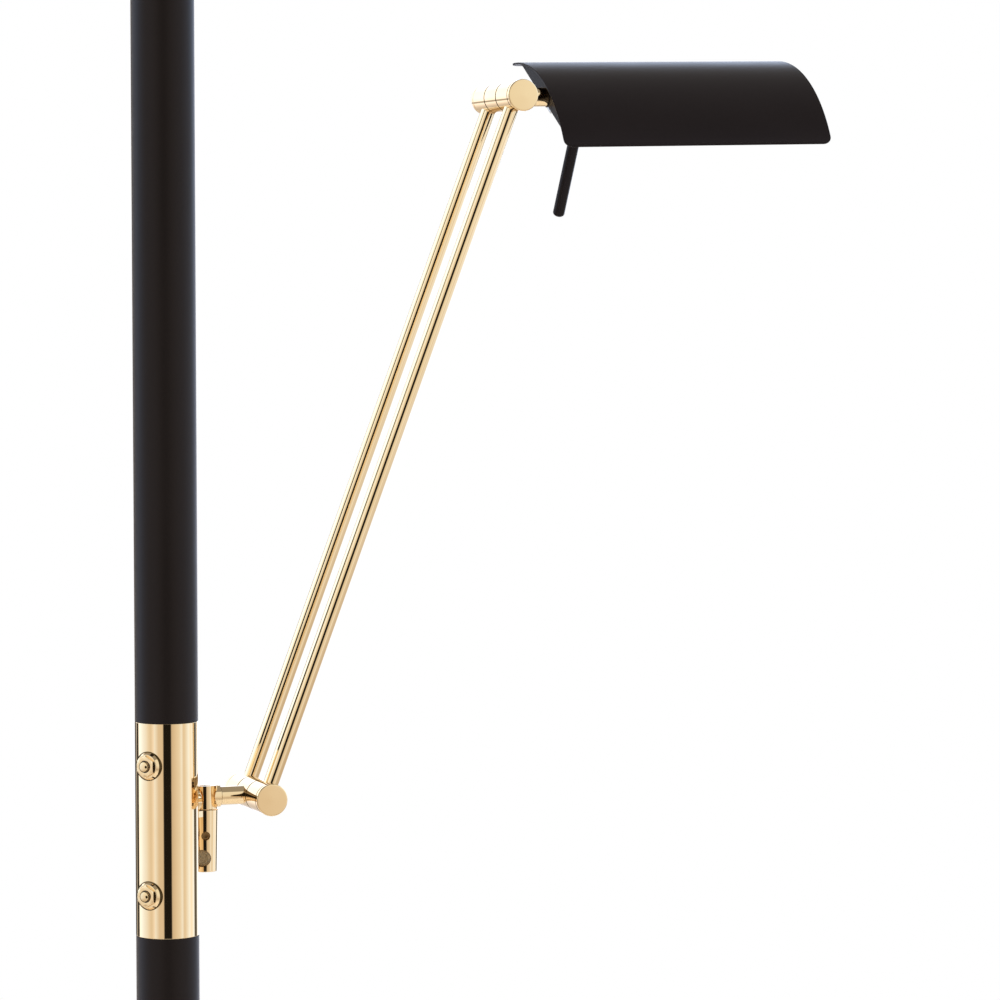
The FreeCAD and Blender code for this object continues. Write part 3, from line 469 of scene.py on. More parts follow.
def makeDimmers():
    look = dimmerLook
    plates = []
    nuts = []
    for level in ("upper", "lower"):
        joint = joints[level + "_dimmer_turn"]
        spindle = axisFrame(joint["pos_m"], joint["axis"])
        unscaled = axisFrame(Vector(joint["pos_m"]) / mm, joint["axis"])
        side, top, bore = look["plateSide"], look["plateTop"], look["bushing"] + 0.05
        line = look["plate"] - look["plateLine"]
        plate = turnedShape([(bore, side - 0.5), (look["plate"], side - 0.5), (look["plate"], side),
                             (line, side + look["plateLine"] * 0.25),
                             (look["plateCrown"], top, look["plateRound"]), (bore, top)])
        # painted shade along the plate's outer rim, where it meets the pole
        paintedShadeFaces(plate, lambda spot, normal: fromAxis(spot) > line)
        seatOnPole(plate, side - 0.4)
        plates.append(moved(plate, unscaled))
        nut = nutShape(look["nutFlats"], look["nutHeight"], look["bushing"])
        # painted shade: the nut's right side takes the dark brass finish
        paintedShadeFaces(nut, lambda spot, normal: normal.x > 0.9)
        nuts.append(moved(nut, unscaled @ Matrix.Translation((0, 0, top))))

        base = look["bushingEnd"] + look["gap"]
        tip = base + look["knobHeight"]
        bottom = look["bushingEnd"] - look["spindleLength"] + look["gap"]
        spindleRadius, radius, ring = look["spindle"], look["knob"], look["knob"] - look["knobLine"]
        knob = turnedShape([(0, bottom), (spindleRadius, bottom, 0.3), (spindleRadius, base),
                            (radius, base, 0.2), (radius, tip - look["knobLine"] * 0.3),
                            (ring, tip), (0, tip)], steps=96)
        dimple = bmesh.new()
        bmesh.ops.create_uvsphere(dimple, u_segments=32, v_segments=16, radius=look["dimple"])
        dimpleSpot = (look["dimpleSpot"], 0, tip + look["dimple"] - look["dimpleDepth"])
        knob = combined(knob, moved(dimple, Matrix.Translation(dimpleSpot)))
        # painted shade on the knob's top edge and in the dimple
        paintedShadeFaces(knob, lambda spot, normal: spot.z > base and (
            normal.z > 0.5 if fromAxis(spot) > ring else spot.z < tip - 0.02))
        addPiece(level + "DimmerKnob", knob, spindle, "brass", level + "_knob", [level + "_dimmer_knob"],
                 second="paintedShadeBrass")
    for name, shapes, node in (("Plates", plates, "dimmer_rings"), ("Nuts", nuts, "dimmer_nuts")):
        addPiece("dimmer" + name, together(*shapes), None, "brass", "stand", [node], second="paintedShadeBrass")
    print("dimmers made")


makeDimmers()


# arm bracket, knuckle and stub

bracketLook = {
    "flange": 8.8, "flangeFace": 23, "flangeDrop": 1.2, "lugWidth": 11, "lugHeight": 4.4, "gap": 0.3,
    "post": 8.8, "postTaper": 0.8, "postLength": 39.8, "edge": 0.35,
    "screwTurn": -12, "screwDrop": 16.5, "screw": 2.8, "screwTop": 6.75,
    "plugTurn": -30, "plugDrop": 30.9, "plug": 5.5, "plugFloor": 3.2, "plugTop": 5.6,
    "pin": 3.5, "pinRoom": 0.05, "pinDepth": 22, "hexKey": 1.5,
}
swivelLook = {
    "knuckle": 8.5, "knuckleHeight": 15.2, "pinHead": 4.6, "pinHeadHeight": 1.4, "collar": 7,
    "collarStart": 3.7, "collarEnd": 10, "collarRound": 0.5, "stub": 5.9, "gap": 0.06,
}
knee = Vector(joints["arm_swing"]["pos_m"])
bracketAngle = math.degrees(math.atan2(knee.x, -knee.y))
pivotReach = math.hypot(knee.x, knee.y) / mm
lowerCentre = Vector(joints["arm_tilt"]["pos_m"])
upperCentre = Vector(joints["head_tilt"]["pos_m"])
hubFloor = 6.8  # how far from its axle a tube, stub or stem ends in a hub


def makeBracket():
    look = bracketLook
    place = Matrix.Translation(knee) @ turnBy(bracketAngle, "Z")
    top = -(swivelLook["knuckleHeight"] / 2 + look["gap"])
    flange = turnedShape([(0, poleRadius), (look["flange"], poleRadius),
                          (look["flange"], look["flangeFace"], 0.9), (0, look["flangeFace"])])
    seatOnPole(flange, poleRadius + 0.1)
    moved(flange, turnBy(90, "X", (0, pivotReach, -look["flangeDrop"])))
    lug = blockShape((-look["lugWidth"] / 2, 0, top - look["lugHeight"]),
                     (look["lugWidth"] / 2, pivotReach - poleRadius - 2.2, top), 0.3)
    foot = top - look["postLength"]
    post = turnedShape([(0, foot), (look["post"] - look["postTaper"], foot, look["edge"]),
                        (look["post"], top, look["edge"]), (0, top)])
    body = combined(post, lug, flange, how="UNION")
    spots = []
    for turn, drop, radius, floor in ((look["screwTurn"], look["screwDrop"], look["screw"], 0),
                                      (look["plugTurn"], look["plugDrop"], look["plug"], look["plugFloor"])):
        spot = Matrix.Translation((0, 0, top - drop)) @ turnBy(turn - bracketAngle, "Z") @ turnBy(90, "X")
        hole = rodShape(radius + 0.05, floor, look["post"] + 3, steps=96)
        body = combined(body, moved(hole, spot))
        spot.translation *= mm
        spots.append(place @ spot)
    pinHole, pinEnd = look["pin"] + look["pinRoom"], top - look["pinDepth"]
    body = combined(body, rodShape(pinHole, pinEnd, top + 1, steps=64))
    addPiece("armBracket", body, place, "brass", "stand", ["arm_bracket"])

    screwTop = look["screwTop"]
    screw = rodShape(look["screw"], pinHole, screwTop, 0.25, steps=64)
    screw = combined(screw, hexPrism(look["hexKey"], screwTop - 1.3, 3))
    addPiece("pinSetScrew", screw, spots[0], "shadedScrewBrown", "stand", ["pin_set_screw"])
    plugTop = look["plugTop"]
    plug = turnedShape([(0, look["plugFloor"]), (look["plug"], look["plugFloor"], 0.3),
                        (look["plug"], plugTop - 0.4, 0.4), (3.2, plugTop, 0.4),
                        (2.6, plugTop - 0.7, 0.3), (0, plugTop - 0.7)], steps=96)
    addPiece("bracketPlug", plug, spots[1], "greyPlug", "stand", ["bracket_plug"])

    head, headBase = swivelLook["pinHead"], -top - swivelLook["pinHeadHeight"]
    pin = turnedShape([(0, pinEnd), (look["pin"], pinEnd, 0.4), (look["pin"], headBase), (head, headBase),
                       (head, -top, 0.3), (0, -top)], steps=96)
    addPiece("pivotPin", pin, place, "brass", "stand", ["pivot_pin"])
    print("bracket made")


def makeSwivel():
    look = swivelLook
    half = look["knuckleHeight"] / 2
    bore, recess = bracketLook["pin"] + look["gap"], look["pinHead"] + look["gap"]
    recessFloor = half - look["pinHeadHeight"]
    knuckle = turnedShape([(bore, -half), (look["knuckle"], -half, 0.3), (look["knuckle"], half, 0.3),
                           (recess, half), (recess, recessFloor), (bore, recessFloor)], steps=160)
    addPiece("swivelKnuckle", knuckle, Matrix.Translation(knee), "brass", "swivel", ["swivel_knuckle"])

    reach = (lowerCentre.x - knee.x) / mm
    alongStub = Matrix.Translation(knee) @ turnBy(90, "Y")
    start, end, stubEnd = look["collarStart"], look["collarEnd"], reach - hubFloor
    stub = turnedShape([(0, start), (look["collar"], start), (look["collar"], end, look["collarRound"]),
                        (look["stub"], end, 0.3), (look["stub"], stubEnd), (0, stubEnd)], steps=160)
    room = moved(rodShape(look["knuckle"] + 0.01, -20, 20, steps=160), turnBy(90, "Y"))
    stub = combined(stub, room)
    # painted shade on the collar's upper and lower faces
    paintedShadeFaces(stub, lambda spot, normal: fromAxis(spot) > look["stub"] + 0.1 and abs(normal.z) > 0.3)
    addPiece("armStub", stub, alongStub, "brass", "swivel", ["arm_stub"], second="paintedShadeBrass")
    print("swivel made")


makeBracket()
makeSwivel()


# arm: hubs, caps, axles and the two tubes

armLook = {
    "edge": 0.45, "bore": 4.06, "capEdge": 0.55, "capDome": 0.15, "capWidth": 3.5, "seatGap": 0.05,
    "tubeWall": 1,
}
hubRadius = sizeOf("lower_middle_hub").z / 2
hubWidth = sizeOf("lower_middle_hub").y
tubeRadius = sizeOf("front_arm_tube").y / 2
tubeLine = upperCentre - lowerCentre
armLean = math.degrees(math.atan2(tubeLine.x, tubeLine.z))


def hubShape(seatRadius, seatTurn):
    # local Z along the axle, with one flat-bottomed seat for a tube, stub or stem
    half = hubWidth / 2
    hub = turnedShape([(armLook["bore"], -half), (hubRadius, -half, armLook["edge"]),
                       (hubRadius, half, armLook["edge"]), (armLook["bore"], half)], steps=192)
    seat = rodShape(seatRadius + armLook["seatGap"], hubFloor, hubRadius + 4, steps=96)
    hub = combined(hub, moved(seat, seatTurn))
    # painted shade in the seams at the hub's rounded ends
    paintedShadeFaces(hub, lambda spot, normal: abs(spot.z) > half - armLook["edge"] - 0.01
              and fromAxis(spot) > hubRadius - armLook["edge"])
    return hub


def makeArm():
    alongAxle = turnBy(90, "X")
    towardTube = turnBy(-armLean, "Z") @ turnBy(-90, "X")
    awayFromTube = turnBy(-armLean, "Z") @ turnBy(90, "X")
    for level, centre, seat in (("lower", lowerCentre, towardTube), ("upper", upperCentre, awayFromTube)):
        for side in ("front", "back"):
            node = "%s_%s_hub" % (level, side)
            low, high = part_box(node)
            place = Matrix.Translation((centre.x, (low.y + high.y) / 2, centre.z)) @ alongAxle
            addPiece(level + side.title() + "Hub", hubShape(tubeRadius, seat), place, "brass", "arm",
                     [node], second="paintedShadeBrass")
        capLow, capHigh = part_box(level + "_axle_caps")
        width, edge, dome = armLook["capWidth"], armLook["capEdge"], armLook["capDome"]
        caps = []
        for y, turn in ((capLow.y / mm + width, 90), (capHigh.y / mm - width, -90)):
            cap = turnedShape([(0, 0), (hubRadius, 0, edge), (hubRadius, width - dome, edge),
                               (hubRadius / 2, width - dome / 4, 4), (0, width)], steps=192)
            caps.append(moved(cap, turnBy(turn, "X", (centre.x / mm, y, centre.z / mm))))
        addPiece(level + "AxleCaps", together(*caps), None, "brass", "arm", [level + "_axle_caps"])
    length = tubeLine.length / mm
    inner = tubeRadius - armLook["tubeWall"]
    for side in ("front", "back"):
        low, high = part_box(side + "_arm_tube")
        y = (low.y + high.y) / 2
        start, end = hubFloor, length - hubFloor
        tube = turnedShape([(inner, start), (tubeRadius, start, 0.2), (tubeRadius, end, 0.2), (inner, end)])
        place = Matrix.Translation((lowerCentre.x, y, lowerCentre.z)) @ turnBy(armLean, "Y")
        addPiece(side + "ArmTube", tube, place, "brass", "arm", [side + "_arm_tube"])
    middle = hubShape(swivelLook["stub"], turnBy(-90, "Y"))
    addPiece("lowerMiddleHub", middle, Matrix.Translation(lowerCentre) @ alongAxle, "brass", "swivel",
             ["lower_middle_hub"], second="paintedShadeBrass")
    print("arm made, lean", round(armLean, 2))


makeArm()


# reading head

headLook = {
    "roll": 32.7, "start": 25.2, "length": 190, "radius": 92.8, "arc": 71.4, "wall": 1.4, "corner": 6,
    "overrun": 5.5, "hem": 2.6, "hemTurn": 50,
    "stemDepth": 11.7, "stem": 6.3, "stemPin": 4, "stemPinLength": 22, "plateInset": 4, "plate": 1.5,
    "plateLift": 3, "lug": 6.8, "blockLength": 36, "blockWidth": 17, "blockDrop": 8,
    "handleSpot": 30.4, "handle": 3.9, "handleLength": 83.3, "handleTip": 2,
    "socket": 7.5, "socketLength": 14, "bulb": 5.5, "bulbLength": 38,
    "strips": 60,
}
stemAxis = Vector(joints["shade_turn"]["axis"])
headLift = math.degrees(math.atan2(stemAxis.z, stemAxis.x))
headPlace = Matrix.Translation(upperCentre) @ turnBy(-headLift, "Y")
shadePlace = headPlace @ turnBy(headLook["roll"], "X")
curveDrop = headLook["stemDepth"] - headLook["radius"]
alongStem = turnBy(90, "Y")


def bentSheet(start, length, radius, wall, arc, corner, overrun=0, hem=0):
    # a flat sheet with rounded corners, bent round an axis along X below it; the far edge may run
    # past the arc, and the near edge may be rolled inward
    half = math.radians(arc) * radius / 2
    width = half * 2 + overrun
    hemTurn = math.radians(headLook["hemTurn"])
    sheet = bmesh.new()
    bmesh.ops.create_grid(sheet, x_segments=1, y_segments=1, size=0.5)
    bmesh.ops.scale(sheet, vec=(length, width, 1), verts=sheet.verts)
    bmesh.ops.translate(sheet, vec=(start + length / 2, overrun / 2, 0), verts=sheet.verts)
    if corner:
        bmesh.ops.bevel(sheet, geom=sheet.verts[:], offset=corner, segments=10, profile=0.5,
                        affect="VERTICES", material=-1)
    strips = headLook["strips"]
    lines = [half - half * 2 * strip / strips for strip in range(0 if overrun else 1, strips)]
    lines += [hem * step / 6 - half for step in range(1, 6)] if hem else []
    for y in lines:
        bmesh.ops.bisect_plane(sheet, geom=sheet.verts[:] + sheet.edges[:] + sheet.faces[:],
                               plane_co=(0, y, 0), plane_no=(0, 1, 0))
    bmesh.ops.solidify(sheet, geom=sheet.faces[:], thickness=wall)
    lift = max(vert.co.z for vert in sheet.verts)
    for vert in sheet.verts:
        along = max(vert.co.y, hem - half) if hem else vert.co.y
        angle = along / radius
        height = radius + vert.co.z - lift
        y, z = height * math.sin(angle), height * math.cos(angle)
        if vert.co.y < along:
            # the rolled part follows a small circle inside the large one
            roll = hemTurn * (along - vert.co.y) / hem
            small = hem / hemTurn
            inner = small + vert.co.z - lift
            y = (radius - small) * math.sin(angle) + inner * math.sin(angle - roll)
            z = (radius - small) * math.cos(angle) + inner * math.cos(angle - roll)
        vert.co = (vert.co.x, y, z + curveDrop)
    bmesh.ops.recalc_face_normals(sheet, faces=sheet.faces)
    return rounded(sheet, sharpEdges(sheet, 60), wall * 0.28, 3)


def endPlate(spot, withLug):
    look = headLook
    inner = look["radius"] - look["wall"] - 0.05
    floor = inner * math.cos(math.radians(look["arc"] / 2)) + look["plateLift"] + curveDrop
    disc = moved(rodShape(inner, spot, spot + look["plate"], 0.2, steps=256),
                 Matrix.Translation((0, 0, curveDrop)) @ alongStem)
    keep = blockShape((spot - 1, -look["radius"], floor),
                      (spot + look["plate"] + 1, look["radius"], look["radius"]))
    plate = combined(disc, keep, how="INTERSECT")
    if withLug:
        lug = rodShape(look["lug"], spot, spot + look["plate"], 0.2)
        plate = combined(plate, moved(lug, alongStem), how="UNION")
        plate = combined(plate, moved(rodShape(look["stemPin"] + 0.06, spot - 3, spot + 5), alongStem))
    return plate


def makeHead():
    look = headLook
    plateSpot = look["start"] + look["plateInset"]
    blockStart = plateSpot + look["plate"]
    blockEnd = blockStart + look["blockLength"]
    farSpot = look["start"] + look["length"] - look["plateInset"] - look["plate"]

    addPiece("upperMiddleHub", hubShape(look["stem"], turnBy(90, "Y")), headPlace @ turnBy(90, "X"),
             "brass", "head_carrier", ["upper_middle_hub"], second="paintedShadeBrass")
    pinEnd = blockStart + look["stemPinLength"]
    stem = turnedShape([(0, hubFloor), (look["stem"], hubFloor),
                        (look["stem"], plateSpot - 0.3, 0.4), (look["stemPin"], plateSpot - 0.3),
                        (look["stemPin"], pinEnd, 0.4), (0, pinEnd)], steps=160)
    addPiece("shadeStem", moved(stem, alongStem), headPlace, "brass", "head_carrier", ["shade_stem"])

    shade = bentSheet(look["start"], look["length"], look["radius"], look["wall"], look["arc"],
                      look["corner"], look["overrun"], look["hem"])
    addPiece("readingShade", shade, shadePlace, "blackCoat", "reading_head", ["reading_shade"])
    for side, spot in (("near", plateSpot), ("far", farSpot)):
        addPiece(side + "EndPlate", endPlate(spot, side == "near"), shadePlace, "blackCoat",
                 "reading_head", ["shade_%s_plate" % side])
    reflector = bentSheet(blockEnd + 1, farSpot - blockEnd - 2, look["radius"] - look["wall"] - 0.3,
                          0.7, 62, 0)
    addPiece("shadeReflector", reflector, shadePlace, "aluminium", "reading_head", ["shade_reflector"])

    block = blockShape((blockStart, -look["blockWidth"] / 2, -look["blockDrop"]),
                       (blockEnd, look["blockWidth"] / 2, look["stemDepth"]), 0.8)
    crown = rodShape(look["radius"] - look["wall"] - 0.02, blockStart - 5, blockEnd + 5, steps=256)
    block = combined(block, moved(crown, Matrix.Translation((0, 0, curveDrop)) @ alongStem),
                     how="INTERSECT")
    pinRoom = rodShape(look["stemPin"] + 0.06, blockStart - 2, pinEnd + 0.3)
    block = combined(block, moved(pinRoom, alongStem))
    addPiece("shadeBlock", block, shadePlace, "aluminium", "reading_head", ["shade_block"])

    handle = turnedShape([(0, -5), (2, -5, 0.3), (2, 0), (look["handle"], 0, 0.3),
                          (look["handle"], look["handleLength"], look["handleTip"]),
                          (0, look["handleLength"])], steps=96)
    handleSpot = ((look["start"] + look["handleSpot"]) * mm, 0, -look["blockDrop"] * mm)
    handlePlace = shadePlace @ turnBy(180, "X", handleSpot)
    addPiece("shadeHandle", handle, handlePlace, "blackCoat", "reading_head", ["shade_handle"])

    socketEnd = blockEnd + look["socketLength"]
    seat = look["bulb"] * 0.8
    socket = turnedShape([(0, blockEnd), (look["socket"], blockEnd, 0.4), (look["socket"], socketEnd, 0.8),
                          (seat + 0.1, socketEnd, 0.3), (seat + 0.1, socketEnd - 4), (0, socketEnd - 4)],
                         steps=96)
    addPiece("readingSocket", moved(socket, alongStem), shadePlace, "steatite", "reading_head",
             ["reading_socket"])
    bulbStart = socketEnd - 4
    bulbEnd = bulbStart + look["bulbLength"]
    bulb = turnedShape([(0, bulbStart), (seat, bulbStart, 0.4), (seat, socketEnd, 0.5),
                        (look["bulb"], socketEnd + 1.5, 0.8), (look["bulb"], bulbEnd, look["bulb"] - 0.6),
                        (0, bulbEnd)], steps=96)
    addPiece("readingBulb", moved(bulb, alongStem), shadePlace, "quartz", "reading_head", ["reading_bulb"])
    coil = coilShape(1.1, 0.16, 14, 12)
    coilPlace = shadePlace @ Matrix.Translation(((socketEnd + 9) * mm, 0, 0))
    addPiece("readingFilament", moved(coil, alongStem), coilPlace, "tungsten", "reading_head")
    print("reading head made, lift", round(headLift, 2))


def coilShape(radius, wire, turns, length):
    # a wire helix along local Z
    coil = bmesh.new()
    bmesh.ops.create_circle(coil, cap_ends=True, segments=8, radius=wire)
    bmesh.ops.rotate(coil, cent=(0, 0, 0), matrix=Matrix.Rotation(math.pi / 2, 3, "X"), verts=coil.verts)
    bmesh.ops.translate(coil, vec=(radius, 0, 0), verts=coil.verts)
    steps = turns * 16
    bmesh.ops.spin(coil, geom=coil.verts[:] + coil.edges[:] + coil.faces[:], cent=(0, 0, 0), axis=(0, 0, 1),
                   dvec=(0, 0, length / steps), angle=math.tau * turns, steps=steps, use_duplicate=False)
    bmesh.ops.recalc_face_normals(coil, faces=coil.faces)
    return coil


makeHead()


# uplight bowl

bowlLook = {
    "curve": 172, "floor": 32, "height": 86, "wall": 1.2, "hem": 2.34, "hemHeight": 3, "wireHole": 6,
    "strapFlat": 24, "strapRise": 18, "strapEar": 22, "strapWall": 1.6, "strapWidth": 18,
    "lampLength": 118, "lamp": 5.5, "lampEnd": 3.6, "lampEndLength": 13, "screwCircle": 12,
    "socketDepth": 11, "socketWidth": 14, "socketHeight": 22, "cupDepth": 4,
    "glassHeight": 46, "glass": 4,
}


def makeBowl():
    look = bowlLook
    curve, height, wall = look["curve"], look["height"], look["wall"]
    top = levels("upper_pole")[1]
    place = Matrix.Translation((0, 0, top * mm))
    centre = math.sqrt(curve ** 2 - look["floor"] ** 2)
    shell = bmesh.new()
    bmesh.ops.create_uvsphere(shell, u_segments=192, v_segments=120, radius=curve)
    bmesh.ops.translate(shell, vec=(0, 0, centre), verts=shell.verts)
    for level, side in ((0, -1), (height - 1, 1)):
        bmesh.ops.bisect_plane(shell, geom=shell.verts[:] + shell.edges[:] + shell.faces[:],
                               plane_co=(0, 0, level), plane_no=(0, 0, side), clear_outer=True)
    lowest = [e for e in shell.edges if e.is_boundary and all(v.co.z < 1 for v in e.verts)]
    floor = bmesh.ops.contextual_create(shell, geom=lowest)["faces"]
    bmesh.ops.inset_region(shell, faces=floor, thickness=look["floor"] - look["wireHole"])
    bmesh.ops.delete(shell, geom=floor, context="FACES_ONLY")
    bmesh.ops.recalc_face_normals(shell, faces=shell.faces)
    if sum(f.normal.z for f in shell.faces) > 0:
        bmesh.ops.reverse_faces(shell, faces=shell.faces)
    bmesh.ops.solidify(shell, geom=shell.faces[:], thickness=wall)
    bmesh.ops.recalc_face_normals(shell, faces=shell.faces)
    rim = math.sqrt(curve ** 2 - (centre - height) ** 2)
    hemStart = height - look["hemHeight"]
    hemOutside = math.sqrt(curve ** 2 - (centre - hemStart) ** 2) + look["hem"]
    hem = turnedShape([(rim - 0.8, hemStart, 0.5), (hemOutside, hemStart, 1.2),
                       (hemOutside, height, 1.2), (rim - 0.8, height, 0.6)], steps=192)
    bowl = addPiece("uplightBowl", together(shell, hem), place, "blackCoat", "stand", ["uplight_bowl"])
    bowl.data.materials.append(finishes["whiteEnamel"][0])
    inside = Vector((0, 0, (top + centre) * mm))
    for face in bowl.data.polygons:
        if (inside - face.center).dot(face.normal) > 0 and fromAxis(face.center) < (rim - 2.2) * mm:
            face.material_index = 1

    half = look["lampLength"] / 2
    cupFace = half - look["cupDepth"]
    strapInside = cupFace + look["socketDepth"]
    strapEnd = strapInside + look["strapWall"]
    strapTop, riseTop = wall + look["strapWall"], wall + look["strapRise"]
    earTop = riseTop + look["strapEar"]
    side = [(look["strapFlat"], wall), (strapEnd, riseTop), (strapEnd, earTop),
            (strapInside, earTop), (strapInside, riseTop + look["strapWall"]),
            (look["strapFlat"], strapTop)]
    strap = bmesh.new()
    outline = side + [(-x, z) for x, z in reversed(side)]
    strip = strap.faces.new([strap.verts.new((x, -look["strapWidth"] / 2, z)) for x, z in outline])
    push = bmesh.ops.extrude_face_region(strap, geom=[strip])
    bmesh.ops.translate(strap, vec=(0, look["strapWidth"], 0),
                        verts=[v for v in push["geom"] if isinstance(v, bmesh.types.BMVert)])
    bmesh.ops.recalc_face_normals(strap, faces=strap.faces)
    strap = combined(rounded(strap, strap.edges[:], 0.3, 2), rodShape(look["wireHole"], -2, 8))
    addPiece("lampStrap", strap, place, "steel", "stand", ["lamp_bracket"])

    socketHalf, socketRise = look["socketWidth"] / 2, look["socketHeight"] / 2
    lampLevel = riseTop + look["strapWall"] + socketRise
    for side, turn in (("left", 180), ("right", 0)):
        block = blockShape((cupFace, -socketHalf, lampLevel - socketRise),
                           (strapInside, socketHalf, lampLevel + socketRise), 1)
        cup = moved(rodShape(look["lampEnd"] + 0.3, cupFace - 2, cupFace + look["cupDepth"]),
                    Matrix.Translation((0, 0, lampLevel)) @ alongStem)
        addPiece(side + "LampSocket", moved(combined(block, cup), turnBy(turn, "Z")), place, "steatite",
                 "stand", [side + "_lamp_socket"])

    neck = half - look["lampEndLength"]
    pinch = look["lampEnd"] * 0.6
    lamp = turnedShape([(0, -neck - 4), (pinch, -neck - 4), (pinch, -neck, 1), (look["lamp"], -neck + 5, 2),
                        (look["lamp"], neck - 5, 2), (pinch, neck, 1), (pinch, neck + 4), (0, neck + 4)],
                       steps=96)
    lampPlace = place @ Matrix.Translation((0, 0, lampLevel * mm)) @ alongStem
    addPiece("halogenTube", lamp, lampPlace, "quartz", "stand", ["halogen_tube"])
    ends = [moved(rodShape(look["lampEnd"], neck, half, 0.5, steps=64), turnBy(turn, "X"))
            for turn in (0, 180)]
    addPiece("lampEnds", together(*ends), lampPlace, "steatite", "stand")
    wire = coilShape(0.9, 0.14, 40, neck * 1.5)
    bmesh.ops.translate(wire, vec=(0, 0, -neck * 0.75), verts=wire.verts)
    addPiece("lampFilament", wire, lampPlace, "tungsten", "stand")

    screws = []
    for turn in (0, 180):
        screw = turnedShape([(0, -12), (2, -12, 0.4), (2, strapTop), (3.6, strapTop),
                             (3.6, strapTop + 2.2, 0.9), (0, strapTop + 2.2)], steps=64)
        slot = blockShape((-5, -0.4, strapTop + 1.2), (5, 0.4, strapTop + 4))
        moveOut = turnBy(turn, "Z") @ Matrix.Translation((look["screwCircle"], 0, 0))
        screws.append(moved(combined(screw, slot), moveOut))
    addPiece("bowlScrews", together(*screws), place, "steel", "stand", ["bowl_screws"])

    innerCurve = curve - wall
    glassRadius = math.sqrt(innerCurve ** 2 - (centre - look["glassHeight"]) ** 2) - 0.1
    glass = rodShape(glassRadius, look["glassHeight"], look["glassHeight"] + look["glass"], 0.8, steps=192)
    addPiece("coverGlass", glass, place, "frostedGlass", "stand", ["cover_glass"])
    print("bowl made")


makeBowl()


# inner parts keep their solids and get their finish

innerFinish = {
    "iron": ["base_weight"],
    "felt": ["floor_pad"],
    "nylon": ["cord_grommet", "axle_spacers"],
    "steel": ["base_stud", "base_washer", "base_nut", "bracket_nut", "lower_axle", "upper_axle",
              "stem_screw"],
    "aluminium": ["lower_coupler", "upper_coupler", "pole_head"],
    "blackCoat": ["pole_foot"],
    "dimmerCase": ["upper_dimmer", "lower_dimmer"],
}
for finish, members in innerFinish.items():
    for node in members:
        frame["nodes"][node].data.materials.clear()
        frame["nodes"][node].data.materials.append(finishes[finish][0])
print("inner parts finished")


# floor, world and lamps

studioLook = {
    "viewerSide": -16.2,  # degrees round from -Y towards +X, where the photographer stood
    "gain": 4.0,
    "diffuse": 0.75,
    "diffuseColour": (1, 0.99, 0.98, 1),
    "floorColour": (0.9, 0.9, 0.9),
    "floorRadius": 3.0,
    "floorFade": (0.8, 2.7),  # distance from the pole where the floor starts and ends to fade
    # what polished metal sees round the horizon: degrees to the right of the viewer's side, brightness
    "horizon": [(-180, 1.5), (-150, 1.4), (-122, 1.5), (-110, 1.2), (-95, 1.07), (-80, 1.0), (-71, 0.94),
                (-62, 0.86), (-57, 0.9), (-50, 1.05), (-45, 1.02), (-30, 0.82), (-16, 0.8), (-14, 0.75),
                (-11, 0.014), (15, 0.014), (18, 0.7), (24, 0.77), (33, 0.85), (47, 0.94), (56, 1.03),
                (64, 0.855), (69, 0.9), (80, 1.01), (88, 1.1), (99, 1.18), (112, 1.13), (136, 1.1),
                (150, 1.3), (180, 1.5)],
    # bright panels are cooler than the room: brightness, then what its green and blue are multiplied by
    "tint": [(0.78, 0.93, 0.86), (0.93, 1.0, 1.0), (1.05, 1.18, 1.5), (1.18, 1.26, 1.75), (1.4, 1.12, 1.4),
             (2.0, 1.0, 1.08)],
    # dark boards in front of the room: first and last degree, lowest and highest Z, then the brightness
    "boardBlur": 0.01,
    "boards": [(-178, -149, -0.17, 0.13, 0.06), (-141.5, -124, -0.17, 0.1, 0.06),
               (-172, -155, 0.13, 0.24, 0.06), (-149, -141.5, -0.17, -0.1, 0.5),
               (116, 136, -0.17, -0.09, 0.14)],
    "climb": (-0.12, 0.05),  # the horizon grows brighter from the first Z to the second
    "climbTo": (1.13, 1.22, 1.28),
    "overhead": 0.36,
    "overheadFrom": (0.8, 0.44),  # Z where it starts, on the viewer's side and behind
    "overheadBlur": (-0.04, 0.06),
    "ground": [(-1.0, 0.88), (-0.88, 0.85), (-0.76, 0.6), (-0.6, 0.54), (-0.4, 0.65)],
    "groundFrom": (-0.17, -0.36),
    # soft square lamps: place, the spot they point at, width, watts
    "lamps": {
        "softLeft": ((-2.2, -1.8, 2.4), (0, 0, 1.2), 1.6, 30),
        "softRight": ((2.4, -1.2, 2.0), (0.2, 0, 1.2), 1.6, 22),
        "softTop": ((0.3, 0.2, 3.4), (0.1, 0, 0), 1.8, 26),
    },
}


def grey(value):
    return (*[value / studioLook["gain"]] * 3, 1)


def tinted(value):
    # brightness as a colour: dim light is warm, bright light is cool
    steps = studioLook["tint"]
    green, blue = steps[0][1:] if value <= steps[0][0] else steps[-1][1:]
    for (low, lowGreen, lowBlue), (high, highGreen, highBlue) in zip(steps, steps[1:]):
        if low < value < high:
            share = (value - low) / (high - low)
            green = lowGreen + (highGreen - lowGreen) * share
            blue = lowBlue + (highBlue - lowBlue) * share
    return [value / studioLook["gain"] * part for part in (1, green, blue)] + [1]


def brightRamp(tree, share, steps):
    ramp = addNode(tree, "ValToRGB", {"Fac": share})
    stops = ramp.color_ramp.elements
    stops.remove(stops[-1])
    for number, (position, value) in enumerate(steps):
        stop = stops.new(position) if number else stops[0]
        stop.position = position
        stop.color = tinted(value)
    return ramp.outputs["Color"]


def bandMask(tree, value, first, last):
    # 1 between two limits, 0 outside
    away = maths(tree, "ABSOLUTE", maths(tree, "SUBTRACT", value, (first + last) / 2))
    half, blur = (last - first) / 2, studioLook["boardBlur"]
    return ranged(tree, away, half - blur, half + blur, 1.0, 0.0)


